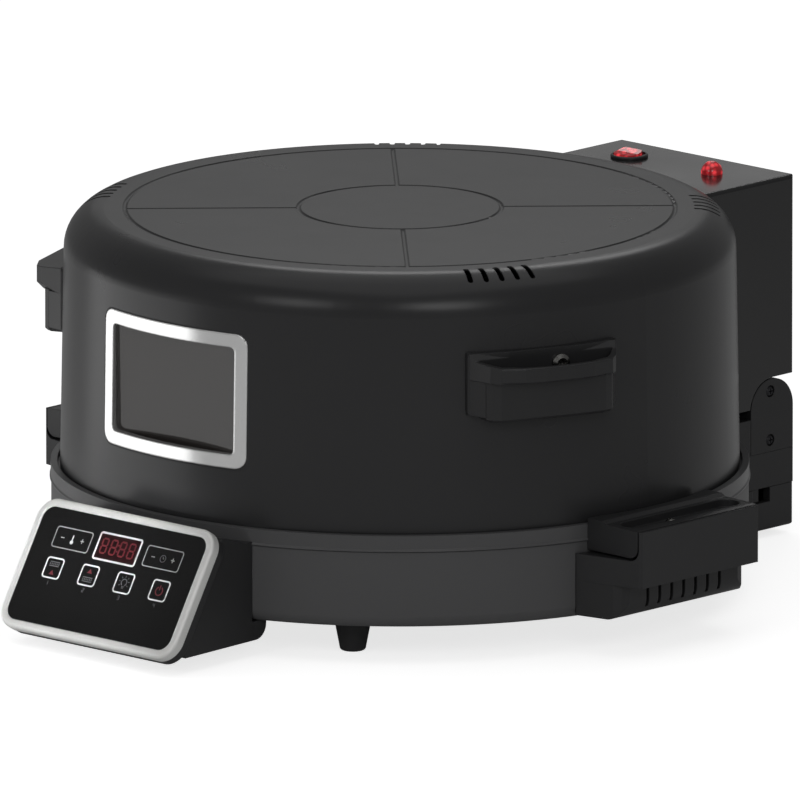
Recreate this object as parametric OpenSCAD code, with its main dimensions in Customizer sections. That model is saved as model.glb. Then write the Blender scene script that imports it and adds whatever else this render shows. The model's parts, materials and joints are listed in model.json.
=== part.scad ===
// Electric pizza maker with a hinged round lid, a baking stone between two heaters,
// a sloping control panel in front and a switch box behind the lid.
// Right is +X, the control panel faces -Y, up is +Z, and the feet stand on Z = 0.

/* [Lid] */
// Diameter of the lid at its lower edge
lid_d = 380; // [378:1:382]
// Height of the flat top of the lid over the table
lid_top = 217; // [216:0.5:218]
// Radius of the rounding between the side and the top of the lid
lid_round = 22.3; // [21:0.1:23]
// How much the lid's radius shrinks from its lower edge to the rounding
lid_taper = 2.2; // [1:0.1:3]
// Wall of the lid shell
lid_wall = 1.2; // [0.8:0.1:2]
// Radius of the large ring groove on the top
groove_big_r = 153.6; // [145:0.2:156]
// Radius of the small ring groove on the top
groove_small_r = 56.8; // [50:0.2:65]
// Angle of the five-slot vent groups nearest the front, from the front
vent_front_angle = 62; // [60:1:63]
// Angle of the vent groups nearest the switch box, from the front
vent_rear_angle = 138; // [136:1:140]

/* [Window] */
// Half of the angle that the window frame spans on the lid
window_half_angle = 16.6; // [15:0.1:17]
// Lower edge of the window frame
window_bottom = 104.8; // [103:0.2:107]
// Upper edge of the window frame
window_top = 181; // [178:0.2:182]
// Width of the frame's face
window_band = 7.6; // [7:0.1:8]

/* [Base] */
// Radius of the drum
base_r = 195; // [194.8:0.1:195.2]
// Underside of the drum
base_bottom = 20.5; // [20.3:0.1:20.7]
// Joint between the drum and the ring on top of it
ring_bottom = 63.8; // [63.5:0.1:64.2]
// Top of the ring, which hides the lid's lower edge
ring_top = 73.3; // [73:0.1:73.6]
// Diameter of the baking stone, for a pizza of 12 inches
stone_d = 312; // [300:1:314]
// Thickness of the baking stone
stone_h = 12; // [10:0.5:12]
// Distance of each foot from the drum's axis, left to right
foot_x = 89; // [85:1:92]
// Distance of each foot from the drum's axis, front to back
foot_y = 132; // [128:1:134]

/* [Control panel] */
// Width of the silver bezel
panel_w = 134.9; // [134:0.1:136]
// Length of the silver bezel along its slope
panel_h = 77.8; // [77:0.1:78.5]
// Lean of the panel from the upright
panel_tilt = 30.8; // [30:0.1:32]
// Width of the bezel's band
bezel_band = 5; // [4.5:0.1:5.5]

/* [Switch box and hinge] */
// Width of the switch box and of the housing under it
box_w = 134.6; // [134:0.1:135]
// Top of the switch box
box_top = 205.9; // [205:0.1:207]
// Radius of the hinge pin
pin_r = 4; // [4:0.1:4.2]
// Running clearance of the hinge pin in its bushes, on the radius
pin_clearance = 0.06; // [0.03:0.01:0.1]

/* [Handles] */
// Angle of each lid handle from the front
lid_handle_angle = 68.5; // [68:0.5:69]
// Half of the length of a lid handle where it meets the lid
lid_handle_half = 45.7; // [45:0.1:46]
// Outer face of the base handles
base_handle_x = 229.5; // [229:0.1:230]

/* [Hidden] */
$fn = 96;
eps = 0.01;
reach = 400;              // longer than any part of the object

// Lid
lid_r = lid_d / 2;
lid_edge = 71.8;          // lower edge of the lid shell, inside the ring
shoulder_z = lid_top - lid_round;
shoulder_r = lid_r - lid_taper;
flat_r = shoulder_r - lid_round;
taper_rate = lid_taper / (shoulder_z - lid_edge);
function lid_side_r(z) = lid_r - (z - lid_edge) * taper_rate;
groove_cut_r = 1.5;       // radius of the round groove cutter
groove_lift = 0.7;        // its centre stands this far over the surface
vent_count = 5;
vent_pitch = 2.93;        // degrees between slots
vent_w = 3;
vent_in = 164;
vent_out = 179;

// Window
window_mid = (window_top + window_bottom) / 2;
window_h = window_top - window_bottom;
window_w = 2 * lid_r * sin(window_half_angle);
window_corner = 7;
window_inner_corner = 3.2;
pane_w = window_w - 2 * window_band + 3;
pane_h = window_h - 2 * window_band + 3;
pane_y = -180;            // outer face of the flat glass
pane_t = 4;
inner_pane_y = -171;      // outer face of the inner pane
inner_pane_t = 3;
frame_depth = 4.4;        // how far the frame reaches in behind the lid's side
frame_proud = 0.3;        // how far its face stands over the lid's side
frame_gap = 0.8;          // black joint round the frame

// Cooking space
dome_r = 176;
dome_top = 200;
dome_round = 14;
sheet = 0.8;              // pressed sheet of the reflectors
ledge_top = 70.2;
element_r = 3.25;
element_gap = 15;         // half of the open angle of a heater loop
upper_loop_r = 120;
upper_loop_z = 186;
lower_loop_r = 112;
lower_loop_z = 50;
stone_z = 59.5;

// Drum
base_wall = 1.2;
plate_t = 1;              // thickness of the bottom plate
base_round = 6.5;
flange_in = 176;
ring_proud = 0.3;         // how far the ring stands over the drum's side
ring_joint = 0.4;         // shadow joint under the ring
bead_proud = 0.9;         // how far the bead on the ring stands over the drum's side
bead_h = 1.4;

// Hinge axis, from the drum's axis and the table
hinge_y = 233;
hinge_z = 74;
cheek_r = 17.3;
back_y = 250.3;           // rear face of the base
box_back = 251;           // rear face of the switch box
box_bottom = 92.1;
box_wall = 1.6;
box_corner = 2.2;         // radius of its upright rear corners and its top edges
leaf_half = 55.5;
leaf_r = 16.6;
bush_r = 6;
seam_z = 49.5;            // joint under the hinge covers
tray_z = 29.3;            // joint over the tray
cover_t = 3.8;            // thickness of a hinge cover
box_cover_w = 118;        // plate over the opening in the back of the switch box
box_cover_h = 100;
box_cover_z = 149;        // its middle
box_cover_t = 0.8;        // its thickness, half of the wall that it is let into

// Control panel
panel_y = -237.1;
panel_z = 44.45;
bezel_t = 6;
bezel_corner = 12.5;
bezel_edge = 2;           // radius of the bezel's outer edge
panel_recess = 0.6;
panel_t = 2;
display_w = 30.6;
display_h = 14.8;
display_q = 17.7;         // middle of the display over the middle of the panel
digit_h = 9.4;
digit_w = 5;
digit_pitch = 6.9;
segment_w = 0.95;

// The drum's axis stands this far behind the middle of the whole object
front_reach = -panel_y + (panel_h / 2 - bezel_edge) * sin(panel_tilt) + bezel_edge * (1 - cos(panel_tilt));
axis_y = (front_reach - box_back) / 2;

// Lid handles
handle_back = 190.5;      // back wall of the finger pocket
handle_low = 137.5;
handle_top = 175;
lip_low = 160.2;
lip_top = 169;

// Base handles
grip_bed = 57.7;          // the bed that the grip lies over
grip_gap = 1.2;           // open joint round the grip
grip_half = 48.5;
trough_z = 71;

// Places on the switch box
rocker_x = -31.6;
lamp_x = 31.9;
box_fit_y = 221;
rocker_pivot_z = 201.5;
rocker_rest = 10;         // degrees that the rocker leans at rest

// Colours
black_paint = [0.19, 0.19, 0.19];
black_plastic = [0.14, 0.14, 0.14];
rubber = [0.08, 0.08, 0.08];
steel = [0.75, 0.75, 0.75];
silver = [0.85, 0.85, 0.84];
stone_colour = [0.83, 0.76, 0.65];
board_green = [0.1, 0.35, 0.2];
red = [0.8, 0.12, 0.12];
glass = [0.35, 0.33, 0.32, 0.6];

// Rounded rectangle about the origin
module rounded_rect(w, h, r) {
    square([w - 2 * r, h], center = true);
    square([w, h - 2 * r], center = true);
    for (x = [-1, 1], y = [-1, 1])
        translate([x * (w / 2 - r), y * (h / 2 - r)]) circle(r);
}

// Rounded rectangle whose corners are drawn in short straight steps
module stepped_rect(w, h, r) {
    steps = 6;
    corners = [[1, 1], [-1, 1], [-1, -1], [1, -1]];
    polygon([for (c = [0:3], k = [0:steps])
        [corners[c][0] * (w / 2 - r) + r * cos(90 * (c + k / steps)),
         corners[c][1] * (h / 2 - r) + r * sin(90 * (c + k / steps))]]);
}

// Outline with two round ends, from x0 to x1
module slot_outline(x0, x1, w) {
    translate([x0 + w / 2, -w / 2]) square([x1 - x0 - w, w]);
    translate([x0 + w / 2, 0]) circle(w / 2);
    translate([x1 - w / 2, 0]) circle(w / 2);
}

// Extrudes an outline drawn in Y and Z along X, from x0 to x1
module along_x(x0, x1) {
    translate([x0, 0, 0]) rotate([90, 0, 90]) linear_extrude(x1 - x0) children();
}

// Extrudes an outline drawn in X and Z backwards along Y, from y0 to y1
module along_y(y0, y1) {
    translate([0, y1, 0]) rotate([90, 0, 0]) linear_extrude(y1 - y0) children();
}

module disc(r, z0, z1) {
    translate([0, 0, z0]) cylinder(r = r, h = z1 - z0);
}

// Round bar along X through y, z
module bar_x(y, z, r, x0, x1) {
    translate([x0, y, z]) rotate([0, 90, 0]) cylinder(r = r, h = x1 - x0);
}

// Keeps the two mirrored halves of a pair
module both_sides() {
    children();
    mirror([1, 0, 0]) children();
}

// Turns a shape drawn at the front of the lid round its axis
module at_angle(a) {
    rotate([0, 0, a]) children();
}

// Pan-head screw with a cross recess, its head up and its seat at the origin
module screw(head_r, shank_r, length) {
    head_h = head_r * 0.62;
    difference() {
        union() {
            cylinder(r = head_r, h = head_h * 0.5);
            translate([0, 0, head_h * 0.5]) cylinder(r1 = head_r, r2 = head_r * 0.62, h = head_h * 0.5);
        }
        for (a = [0, 90]) rotate([0, 0, a])
            translate([-head_r * 0.55, -head_r * 0.11, head_h * 0.45])
                cube([head_r * 1.1, head_r * 0.22, head_h]);
    }
    translate([0, 0, -length]) cylinder(r = shank_r, h = length);
}

// Outline of the lid, smaller by inset all over, from the given lower edge
module lid_outline(inset, bottom) {
    polygon([[0, bottom], [lid_side_r(bottom) - inset, bottom], [shoulder_r - inset, shoulder_z],
             [0, shoulder_z]]);
    translate([0, shoulder_z]) square([flat_r, lid_round - inset]);
    intersection() {
        translate([flat_r, shoulder_z]) circle(lid_round - inset);
        translate([flat_r, shoulder_z]) square(lid_round);
    }
}

module lid_solid(inset, bottom) {
    rotate_extrude() lid_outline(inset, bottom);
}

// Solid of the drum and its ring, grown by gap
module drum_solid(gap) {
    bead_z = ring_bottom + ring_joint;
    disc(base_r + ring_proud + gap, base_bottom - gap, ring_top + 10);
    disc(base_r + bead_proud + gap, bead_z - gap, bead_z + bead_h + gap);
}

// Prism through the window, with the given outline size
module window_prism(w, h, r, y0, y1) {
    along_y(y0, y1) translate([0, window_mid]) stepped_rect(w, h, r);
}

// Ring that follows the lid's side between two insets, over the window's height
module lid_band(inset_out, inset_in) {
    z0 = window_bottom - 6;
    z1 = window_top + 6;
    rotate_extrude() polygon([
        [lid_side_r(z0) - inset_in, z0], [lid_side_r(z0) - inset_out, z0],
        [lid_side_r(z1) - inset_out, z1], [lid_side_r(z1) - inset_in, z1]]);
}

// Open loop of tube with two straight cold ends, up or down
module heater_loop(loop_r, z, leg, leg_h) {
    translate([0, 0, z]) rotate([0, 0, 90 + element_gap])
        rotate_extrude(angle = 360 - 2 * element_gap) translate([loop_r, 0]) circle(element_r);
    for (s = [-1, 1]) rotate([0, 0, 90 + s * element_gap])
        translate([loop_r, 0, leg > 0 ? z - 4.2 : z - leg_h])
            cylinder(r = element_r + 0.8, h = leg_h + 4.2);
}

// Clips that hold a heater loop, between its height and a plate at plate_z
module heater_clips(loop_r, z, plate_z) {
    low = min(z - 5, plate_z);
    high = max(z + 5, plate_z);
    for (a = [30, 150, 270]) rotate([0, 0, a]) difference() {
        translate([loop_r - 5.5, -4, low]) cube([11, 8, high - low]);
        translate([0, 0, z]) rotate_extrude() translate([loop_r, 0]) circle(element_r + 0.1);
    }
}

// Base

module base_shell() {
    color(black_paint) difference() {
        rotate_extrude() difference() {
            union() {
                translate([0, base_bottom + base_round])
                    square([base_r, ring_bottom - base_bottom - base_round]);
                translate([0, base_bottom]) square([base_r - base_round, base_round]);
                intersection() {
                    translate([base_r - base_round, base_bottom + base_round]) circle(base_round);
                    translate([base_r - base_round, base_bottom]) square(base_round);
                }
            }
            translate([-eps, base_bottom + base_round])
                square([base_r - base_wall + eps, ring_bottom]);
            translate([-eps, base_bottom + base_wall])
                square([base_r - base_round + eps, base_round]);
            intersection() {
                translate([base_r - base_round, base_bottom + base_round]) circle(base_round - base_wall);
                translate([base_r - base_round, base_bottom + base_wall]) square(base_round - base_wall);
            }
            translate([-eps, base_bottom - 1]) square([flange_in + eps, 10]);
        }
        // Wire openings to the control panel and to the rear housing
        along_y(-reach, -150) translate([0, 45]) rounded_rect(44, 14, 4);
        along_y(150, reach) translate([0, 40]) rounded_rect(44, 14, 4);
        for (a = [0:60:300]) rotate([0, 0, a]) translate([179, 0, base_bottom - 1])
            cylinder(r = 1.7, h = 4);
    }
}

module trim_ring() {
    lip = 191.5;          // room for the lid's edge
    low = ring_bottom + ring_joint;
    color(black_paint) rotate_extrude() difference() {
        translate([flange_in, low]) square([base_r + ring_proud - flange_in, ring_top - low]);
        translate([flange_in - 1, ledge_top]) square([lip - flange_in + 1, 10]);
        translate([flange_in - 1, ring_bottom - 1]) square([189 - flange_in + 1, 3.4]);
    }
    // Bead along the lower edge
    color(black_paint) rotate_extrude()
        polygon([[base_r, low], [base_r + bead_proud, low], [base_r + bead_proud, low + 0.6],
                 [base_r + ring_proud, low + bead_h], [base_r, low + bead_h]]);
}

module bottom_plate() {
    plate_z = base_bottom + base_wall;
    color(steel) difference() {
        disc(182, plate_z, plate_z + plate_t);
        for (row = [-2:2], col = [-3:3])
            translate([col * 30, row * 26, plate_z - 1]) linear_extrude(4) slot_outline(-10, 10, 3.4);
        for (x = [-foot_x, foot_x], y = [-foot_y, foot_y])
            translate([x, y, plate_z - 1]) cylinder(r = 2.2, h = 4);
        for (a = [0:60:300]) rotate([0, 0, a]) translate([179, 0, plate_z - 1]) cylinder(r = 1.7, h = 4);
    }
}

// Six plate screws and one long screw up through each foot
module bottom_screws() {
    color(steel) {
        for (a = [0:60:300]) rotate([0, 0, a]) translate([179, 0, base_bottom]) rotate([180, 0, 0])
            screw(3.2, 1.5, 4);
        for (x = [-foot_x, foot_x], y = [-foot_y, foot_y]) translate([x, y, 7]) rotate([180, 0, 0])
            screw(3.6, 2, 19.5);
    }
}

module foot(x, y) {
    color(rubber) translate([x, y, 0]) rotate_extrude() difference() {
        union() {
            polygon([[0, 2], [7.4, 2], [11.2, base_bottom + base_wall], [0, base_bottom + base_wall]]);
            square([5.4, 2]);
            intersection() {
                translate([5.4, 2]) circle(2);
                translate([5.4, 0]) square(2);
            }
        }
        translate([-eps, -1]) square([4 + eps, 8]);
        translate([-eps, 0]) square([2.1 + eps, 30]);
    }
}

module reflector_pan() {
    color(steel) difference() {
        rotate_extrude() polygon([
            [0, 41], [140, 41], [149, stone_z], [164, stone_z], [171, ledge_top + sheet],
            [186, ledge_top + sheet], [186, ledge_top], [171.4, ledge_top], [164.5, stone_z - sheet],
            [149.6, stone_z - sheet], [140.6, 41 - sheet], [0, 41 - sheet]]);
        for (s = [-1, 1]) rotate([0, 0, 90 + s * element_gap])
            translate([lower_loop_r, 0, 30]) cylinder(r = 5, h = 20);
        translate([0, 0, 30]) cylinder(r = 6, h = 20);
    }
}

module lower_element() {
    color(steel) heater_loop(lower_loop_r, lower_loop_z, -1, 22);
}

module lower_element_clips() {
    color(steel) heater_clips(lower_loop_r, lower_loop_z, 41);
}

module baking_stone() {
    edge = 2.5;
    color(stone_colour) rotate_extrude() {
        translate([0, stone_z]) square([stone_d / 2 - edge, stone_h]);
        translate([0, stone_z]) square([stone_d / 2, stone_h - edge]);
        intersection() {
            translate([stone_d / 2 - edge, stone_z + stone_h - edge]) circle(edge);
            translate([stone_d / 2 - edge, stone_z + stone_h - edge]) square(edge);
        }
    }
}

// Sensor that presses on the stone from below, on a bracket over the bottom plate
module lower_thermostat() {
    plate_z = base_bottom + base_wall + plate_t;
    color(steel) {
        disc(5.6, 32, 57);
        disc(8, 57, stone_z);
        translate([-18, -9, 30.5]) cube([36, 18, 1.5]);
        for (s = [-1, 1]) translate([s * 17.25 - 0.75, -9, plate_z]) cube([1.5, 18, 31 - plate_z]);
    }
}

// Heat-proof pads on the ledge that the lid's edge comes down on
module rest_pads() {
    color(rubber) for (a = [20, 160, 200, 340]) rotate([0, 0, a])
        translate([188.9, 0, ledge_top]) cylinder(r = 2.2, h = lid_edge - ledge_top - 0.3);
}

// Upper outline of a base handle, seen from above
module handle_plan(inset) {
    x = base_handle_x - inset;
    polygon([[170, -56.5 + inset], [187, -56 + inset], [x - 1.5, -48.6 + inset], [x, -47.1 + inset],
             [x, 47.1 - inset], [x - 1.5, 48.6 - inset], [187, 56 - inset], [170, 56.5 - inset]]);
}

// Lower outline of a base handle, which stands back under the upper one
module handle_foot_plan(inset) {
    x = 217 - inset;
    polygon([[170, -56.8 + inset], [187, -56 + inset], [x - 5.5, -51.4 + inset], [x - 1.5, -48.6 + inset],
             [x, -44 + inset], [x, 44 - inset], [x - 1.5, 48.6 - inset], [x - 5.5, 51.4 - inset],
             [187, 56 - inset], [170, 56.8 - inset]]);
}

module handle_foot_side(inset) {
    low = 22.5 + inset;
    r = 10 - inset;
    translate([150, low]) square([67 - 10, 43 - low]);
    translate([150, low + r]) square([67 - inset, 43 - low - r]);
    translate([207, low + r]) circle(r);
}

// Bed of the grip in the handle, from an outline in X and Z
module grip_side(gap) {
    corner = 6;
    x = base_handle_x - 1.4 - gap * 0.8;
    low = grip_bed + gap;
    translate([150, low]) square([x - 150 - corner, 30]);
    translate([150, low + corner]) square([x - 150, 30]);
    translate([x - corner, low + corner]) circle(corner);
}

module base_handle() {
    wall = 2.6;
    slots = 7;
    slot_pitch = 9.7;
    face_low = 42.3;
    color(black_plastic) difference() {
        union() {
            translate([0, 0, face_low]) linear_extrude(74.4 - face_low) handle_plan(0);
            intersection() {
                translate([0, 0, 22]) linear_extrude(face_low - 22 + 0.1) handle_foot_plan(0);
                along_y(-60, 60) handle_foot_side(0);
            }
        }
        drum_solid(0.05);
        along_y(-70, 70) grip_side(0);
        // Hollow of the upper and of the lower part
        translate([0, 0, face_low + wall]) linear_extrude(grip_bed - 2.2 - face_low - wall)
            handle_plan(wall);
        intersection() {
            translate([0, 0, 22]) linear_extrude(face_low - 22 + wall + 0.4) handle_foot_plan(wall);
            along_y(-60, 60) union() {
                handle_foot_side(wall);
                translate([150, 38]) square([67 - wall, 9]);
            }
        }
        for (k = [0:slots - 1])
            translate([202, (k - (slots - 1) / 2) * slot_pitch - 1.2, 27.8]) cube([20, 2.4, 12.5]);
        for (y = [-30, 30]) translate([210, y, 50]) cylinder(r = 1.8, h = 12);
    }
}

// Upper outline of the grip in X and Z: a rail beside the lid, then a slope to the front rim
module grip_top() {
    polygon([[150, 50], [150, 77], [200.2, 77], [203.4, 75.4], [224, 74.9], [base_handle_x, 74.2],
             [base_handle_x, 50]]);
}

module base_grip() {
    color(black_plastic) difference() {
        union() {
            intersection() {
                along_y(-grip_half, grip_half) grip_side(grip_gap);
                along_y(-grip_half, grip_half) grip_top();
            }
            for (y = [-30, 30]) translate([210, y, grip_bed]) cylinder(r = 5, h = grip_gap + 1);
        }
        drum_solid(0.05);
        // Trough for the thumbs, with a narrow slot in its floor
        translate([214, 0, trough_z]) linear_extrude(10) rotate([0, 0, 90]) slot_outline(-45, 45, 15);
        translate([217, 19.6, 66]) linear_extrude(10) rotate([0, 0, 90]) slot_outline(-4, 4, 1.6);
        for (y = [-30, 30]) translate([210, y, 50]) cylinder(r = 1.8, h = 17);
        translate([212.5, -5.6, 60]) cylinder(r = 1.5, h = 12);
    }
}

// One screw down into each grip from its trough, and two up through the handle
module grip_screws() {
    color(steel) both_sides() {
        translate([212.5, -5.6, trough_z]) screw(3, 1.4, 8);
        for (y = [-30, 30]) translate([210, y, grip_bed - 2.2]) rotate([180, 0, 0]) screw(3, 1.6, 10);
    }
}

// Control panel

module on_panel() {
    translate([0, panel_y, panel_z]) rotate([90 - panel_tilt, 0, 0]) children();
}

// Side outline of the control housing in Y and Z, smaller by inset
module housing_side(inset) {
    s = sin(panel_tilt);
    c = cos(panel_tilt);
    depth = bezel_t + 2;
    top = panel_h / 2 - 1.5 - inset;
    low = -28;
    ty = panel_y + top * s + depth * c;
    tz = panel_z + top * c - depth * s;
    by = panel_y + low * s + depth * c;
    bz = panel_z + low * c - depth * s;
    corner = 8.5;
    bottom = 9.6;
    polygon([[ty, tz], [by, bz], [-241.8, bottom + inset], [-173.7 - corner, bottom + inset],
             [-173.7 - corner, 64 - inset], [-150, 64 - inset], [-150, 66 - inset], [-190, 66 - inset]]);
    intersection() {
        translate([-173.7 - corner, bottom + corner]) circle(corner - inset);
        translate([-173.7 - corner, 0]) square([corner, bottom + corner]);
    }
    translate([-173.7 - corner, bottom + corner]) square([corner - inset, 50 - inset]);
}

module control_housing() {
    wall = 2.5;
    chin = 5;
    color(black_plastic) difference() {
        union() {
            intersection() {
                along_x(-68, 68) housing_side(0);
                linear_extrude(90) polygon([[-66.4, -260], [66.4, -260], [62.3, -183], [62.3, -170],
                                            [-62.3, -170], [-62.3, -183]]);
            }
            // Rim behind the bezel
            on_panel() translate([0, 0, -bezel_t - chin]) linear_extrude(chin)
                rounded_rect(panel_w - 0.6, panel_h - 0.6, bezel_corner - 0.3);
        }
        drum_solid(0.05);
        difference() {
            intersection() {
                along_x(-68, 68) housing_side(wall);
                linear_extrude(90) polygon([[-63.9, -270], [63.9, -270], [59.8, -183], [59.8, -178],
                                            [-59.8, -178], [-59.8, -183]]);
            }
            drum_solid(wall);
        }
        // The open front behind the panel
        on_panel() translate([0, 0, -bezel_t - 6]) linear_extrude(12) rounded_rect(120, 62, 6);
        // Wire way into the drum
        along_y(-210, -150) translate([0, 45]) rounded_rect(44, 14, 4);
    }
}

// Cross-section of the bezel's band: 0 is its inner edge and the face is at the top
module bezel_section() {
    outer = bezel_edge;
    inner = 1;
    difference() {
        translate([0, -bezel_t]) square([bezel_band, bezel_t]);
        translate([bezel_band - outer, -outer]) square(outer + 1);
        translate([-1, -inner]) square(inner + 1);
    }
    intersection() {
        translate([bezel_band - outer, -outer]) circle(outer);
        translate([bezel_band - outer, -outer]) square(outer);
    }
    intersection() {
        translate([inner, -inner]) circle(inner);
        translate([0, -inner]) square(inner);
    }
}

module control_bezel() {
    w = panel_w / 2 - bezel_corner;
    h = panel_h / 2 - bezel_corner;
    r = bezel_corner - bezel_band;
    color(silver) on_panel() {
        for (k = [0:3]) {
            x = (k == 0 || k == 3) ? w : -w;
            y = k < 2 ? h : -h;
            translate([x, y, 0]) rotate([0, 0, k * 90]) rotate_extrude(angle = 90)
                translate([r, 0]) bezel_section();
        }
        for (s = [0, 180]) rotate([0, 0, s]) {
            translate([w + r, h, 0]) rotate([90, 0, 0]) linear_extrude(2 * h) bezel_section();
            translate([-w, h + r, 0]) rotate([90, 0, 90]) linear_extrude(2 * w) bezel_section();
        }
    }
}

module control_panel() {
    color(black_plastic) on_panel() translate([0, 0, -panel_recess - panel_t]) linear_extrude(panel_t)
        difference() {
            rounded_rect(panel_w - 2 * bezel_band - 0.1, panel_h - 2 * bezel_band - 0.1,
                         bezel_corner - bezel_band);
            translate([0, display_q]) rounded_rect(display_w, display_h, 0.8);
        }
}

module display_window() {
    color([0.25, 0.04, 0.05]) on_panel()
        translate([0, display_q, -panel_recess - panel_t]) linear_extrude(panel_t)
            rounded_rect(display_w - 0.1, display_h - 0.1, 0.75);
}

// One segment, a bar with pointed ends along X
module segment(length) {
    s = segment_w / 2;
    polygon([[-length / 2, 0], [-length / 2 + s, s], [length / 2 - s, s], [length / 2, 0],
             [length / 2 - s, -s], [-length / 2 + s, -s]]);
}

// The figure eight of a seven-segment digit
module digit_eight() {
    gap = 0.35;
    w = digit_w - segment_w;
    h = (digit_h - segment_w) / 2;
    for (y = [-h, 0, h]) translate([0, y]) segment(w - gap);
    for (x = [-w / 2, w / 2], y = [-h / 2, h / 2]) translate([x, y]) rotate(90) segment(h - gap);
}

// Four lit digits with a colon, standing just proud of the window
module display_digits() {
    color(red) on_panel() translate([0, display_q, -panel_recess]) linear_extrude(0.15) {
        for (k = [-1.5, -0.5, 0.5, 1.5]) translate([k * digit_pitch, 0]) digit_eight();
        for (y = [-1.8, 1.8]) translate([0, y]) circle(0.5);
    }
}

module display_module() {
    depth = 7.3;
    color([0.9, 0.9, 0.88]) on_panel()
        translate([0, display_q, -panel_recess - panel_t - 0.1 - depth]) linear_extrude(depth)
            square([display_w - 0.6, display_h], center = true);
}

module control_board() {
    back = -11.6;
    color(board_green) on_panel() {
        translate([0, 0, back]) linear_extrude(1.6) rounded_rect(112, 56, 3);
        for (x = [-40.8, -13.6, 13.6, 40.8]) translate([x, -1, back + 1.5]) cylinder(r = 4, h = 7.2);
        for (x = [-40, -29, 29, 40]) translate([x, display_q, back + 1.5]) cylinder(r = 3, h = 7.2);
        translate([-8, -22, back - 2.4]) cube([16, 12, 2.5]);
        for (x = [-50, 50], y = [-23, 23]) translate([x, y, back + 1.5]) cylinder(r = 2.5, h = 7.5);
    }
}

// Rear housing and hinge

// Side outline of a hinge cheek about the axis, from the joint upwards
module cheek_side(r) {
    translate([hinge_y, hinge_z]) circle(r);
    translate([hinge_y - r, seam_z]) square([2 * r, hinge_z - seam_z]);
}

module rear_housing() {
    ear_in = 56;
    ear_out = box_w / 2 - cover_t;
    front = hinge_y - cheek_r - 0.4;
    color(black_plastic) difference() {
        union() {
            // Full width between the tray and the hinge covers
            along_x(-box_w / 2, box_w / 2) translate([176, tray_z])
                square([back_y - 176, seam_z - tray_z - 0.1]);
            along_x(-box_w / 2, box_w / 2) translate([176, tray_z]) square([front - 176, 70 - tray_z]);
            along_x(-ear_out, ear_out) translate([176, tray_z]) square([back_y - 176, 67.8 - tray_z]);
            both_sides() along_x(ear_in, ear_out) cheek_side(cheek_r - 0.5);
        }
        drum_solid(0.05);
        // Trough for the hinge leaf and the hollow for the wires
        bar_x(hinge_y, hinge_z, cheek_r, -ear_in, ear_in);
        along_x(-52, 52) translate([180, tray_z - 1]) square([back_y - 2.8 - 180, 54 - tray_z + 1]);
        bar_x(hinge_y, hinge_z, pin_r + 0.02, -reach, reach);
        both_sides() for (z = [84.2, 56.1]) bar_x(231.6, z, 1.45, ear_out - 9, reach);
        along_y(150, 215) translate([0, 40]) rounded_rect(44, 14, 4);
        // Seat of the cord gland
        translate([0, 200, 41]) rotate([-90, 0, 0]) cylinder(r = 8, h = 100);
    }
    // Snap hooks that reach down into the tray's windows
    color(black_plastic) both_sides()
        translate([box_w / 2 - 3.4, 217.6, 21.5]) cube([2.2, 5.6, tray_z - 21.5 + 1]);
}

module rear_tray() {
    wall = 2.6;
    low = 4.4;
    floor_top = 8.4;
    color(black_plastic) difference() {
        intersection() {
            along_x(-box_w / 2, box_w / 2) polygon([
                [176, tray_z - 0.2], [176, 10], [180, low], [248.8, low], [back_y, low + 1.5],
                [back_y, tray_z - 0.2]]);
            linear_extrude(40) translate([0, 213]) rounded_rect(box_w, 74.6, 1);
            along_y(100, reach) translate([0, low + 60]) rounded_rect(box_w, 120, 2.5);
        }
        drum_solid(0.05);
        along_x(-box_w / 2 + wall + 2.6, box_w / 2 - wall - 2.6) translate([180, floor_top])
            square([back_y - wall - 180, 40]);
        both_sides() {
            // Windows for the snap hooks, and the way of each hook
            translate([box_w / 2 - 5.4, 217.4, 20.8]) cube([10, 14, 8.4]);
            translate([box_w / 2 - 5.4, 217.4, 20.8]) cube([5.6, 14, 12]);
        }
        for (k = [-3:3]) translate([k * 12, 225, 0]) linear_extrude(20) rotate(90) slot_outline(-12, 12, 3);
    }
}

module hinge_cover() {
    color(black_plastic) difference() {
        along_x(box_w / 2 - cover_t, box_w / 2) cheek_side(cheek_r);
        for (z = [84.2, 56.1]) {
            bar_x(231.6, z, 1.9, 0, reach);
            bar_x(231.6, z, 3.4, box_w / 2 - 1.6, reach);
        }
    }
}

module hinge_cover_screws() {
    color(steel) both_sides() for (z = [84.2, 56.1])
        translate([box_w / 2 - 1.6, 231.6, z]) rotate([0, 90, 0]) screw(3, 1.4, 9);
}

module hinge_pin() {
    color(steel) bar_x(hinge_y, hinge_z, pin_r, -62.5, 62.5);
}

module power_board() {
    color(board_green) {
        translate([-45, 200, 14]) cube([90, 40, 1.6]);
        translate([-38, 206, 15.5]) cube([22, 18, 16]);
        translate([-8, 206, 15.5]) cube([18, 14, 14]);
        for (x = [20, 32]) translate([x, 215, 15.5]) cylinder(r = 5, h = 17);
        for (x = [-40, 40], y = [204, 236]) translate([x, y, 8.4]) cylinder(r = 3, h = 5.7);
    }
}

// Gland in the rear wall, with the bore that the power cord goes through
module cord_gland() {
    color(rubber) translate([0, 0, 41]) rotate([-90, 0, 0]) rotate_extrude() difference() {
        polygon([
            [0, 244], [10.5, 244], [10.5, 247.4], [7.9, 247.4], [7.9, back_y], [7.4, 250.9], [0, 250.9]]);
        translate([-eps, 230]) square([4 + eps, 30]);
    }
}

// Lid

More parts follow.
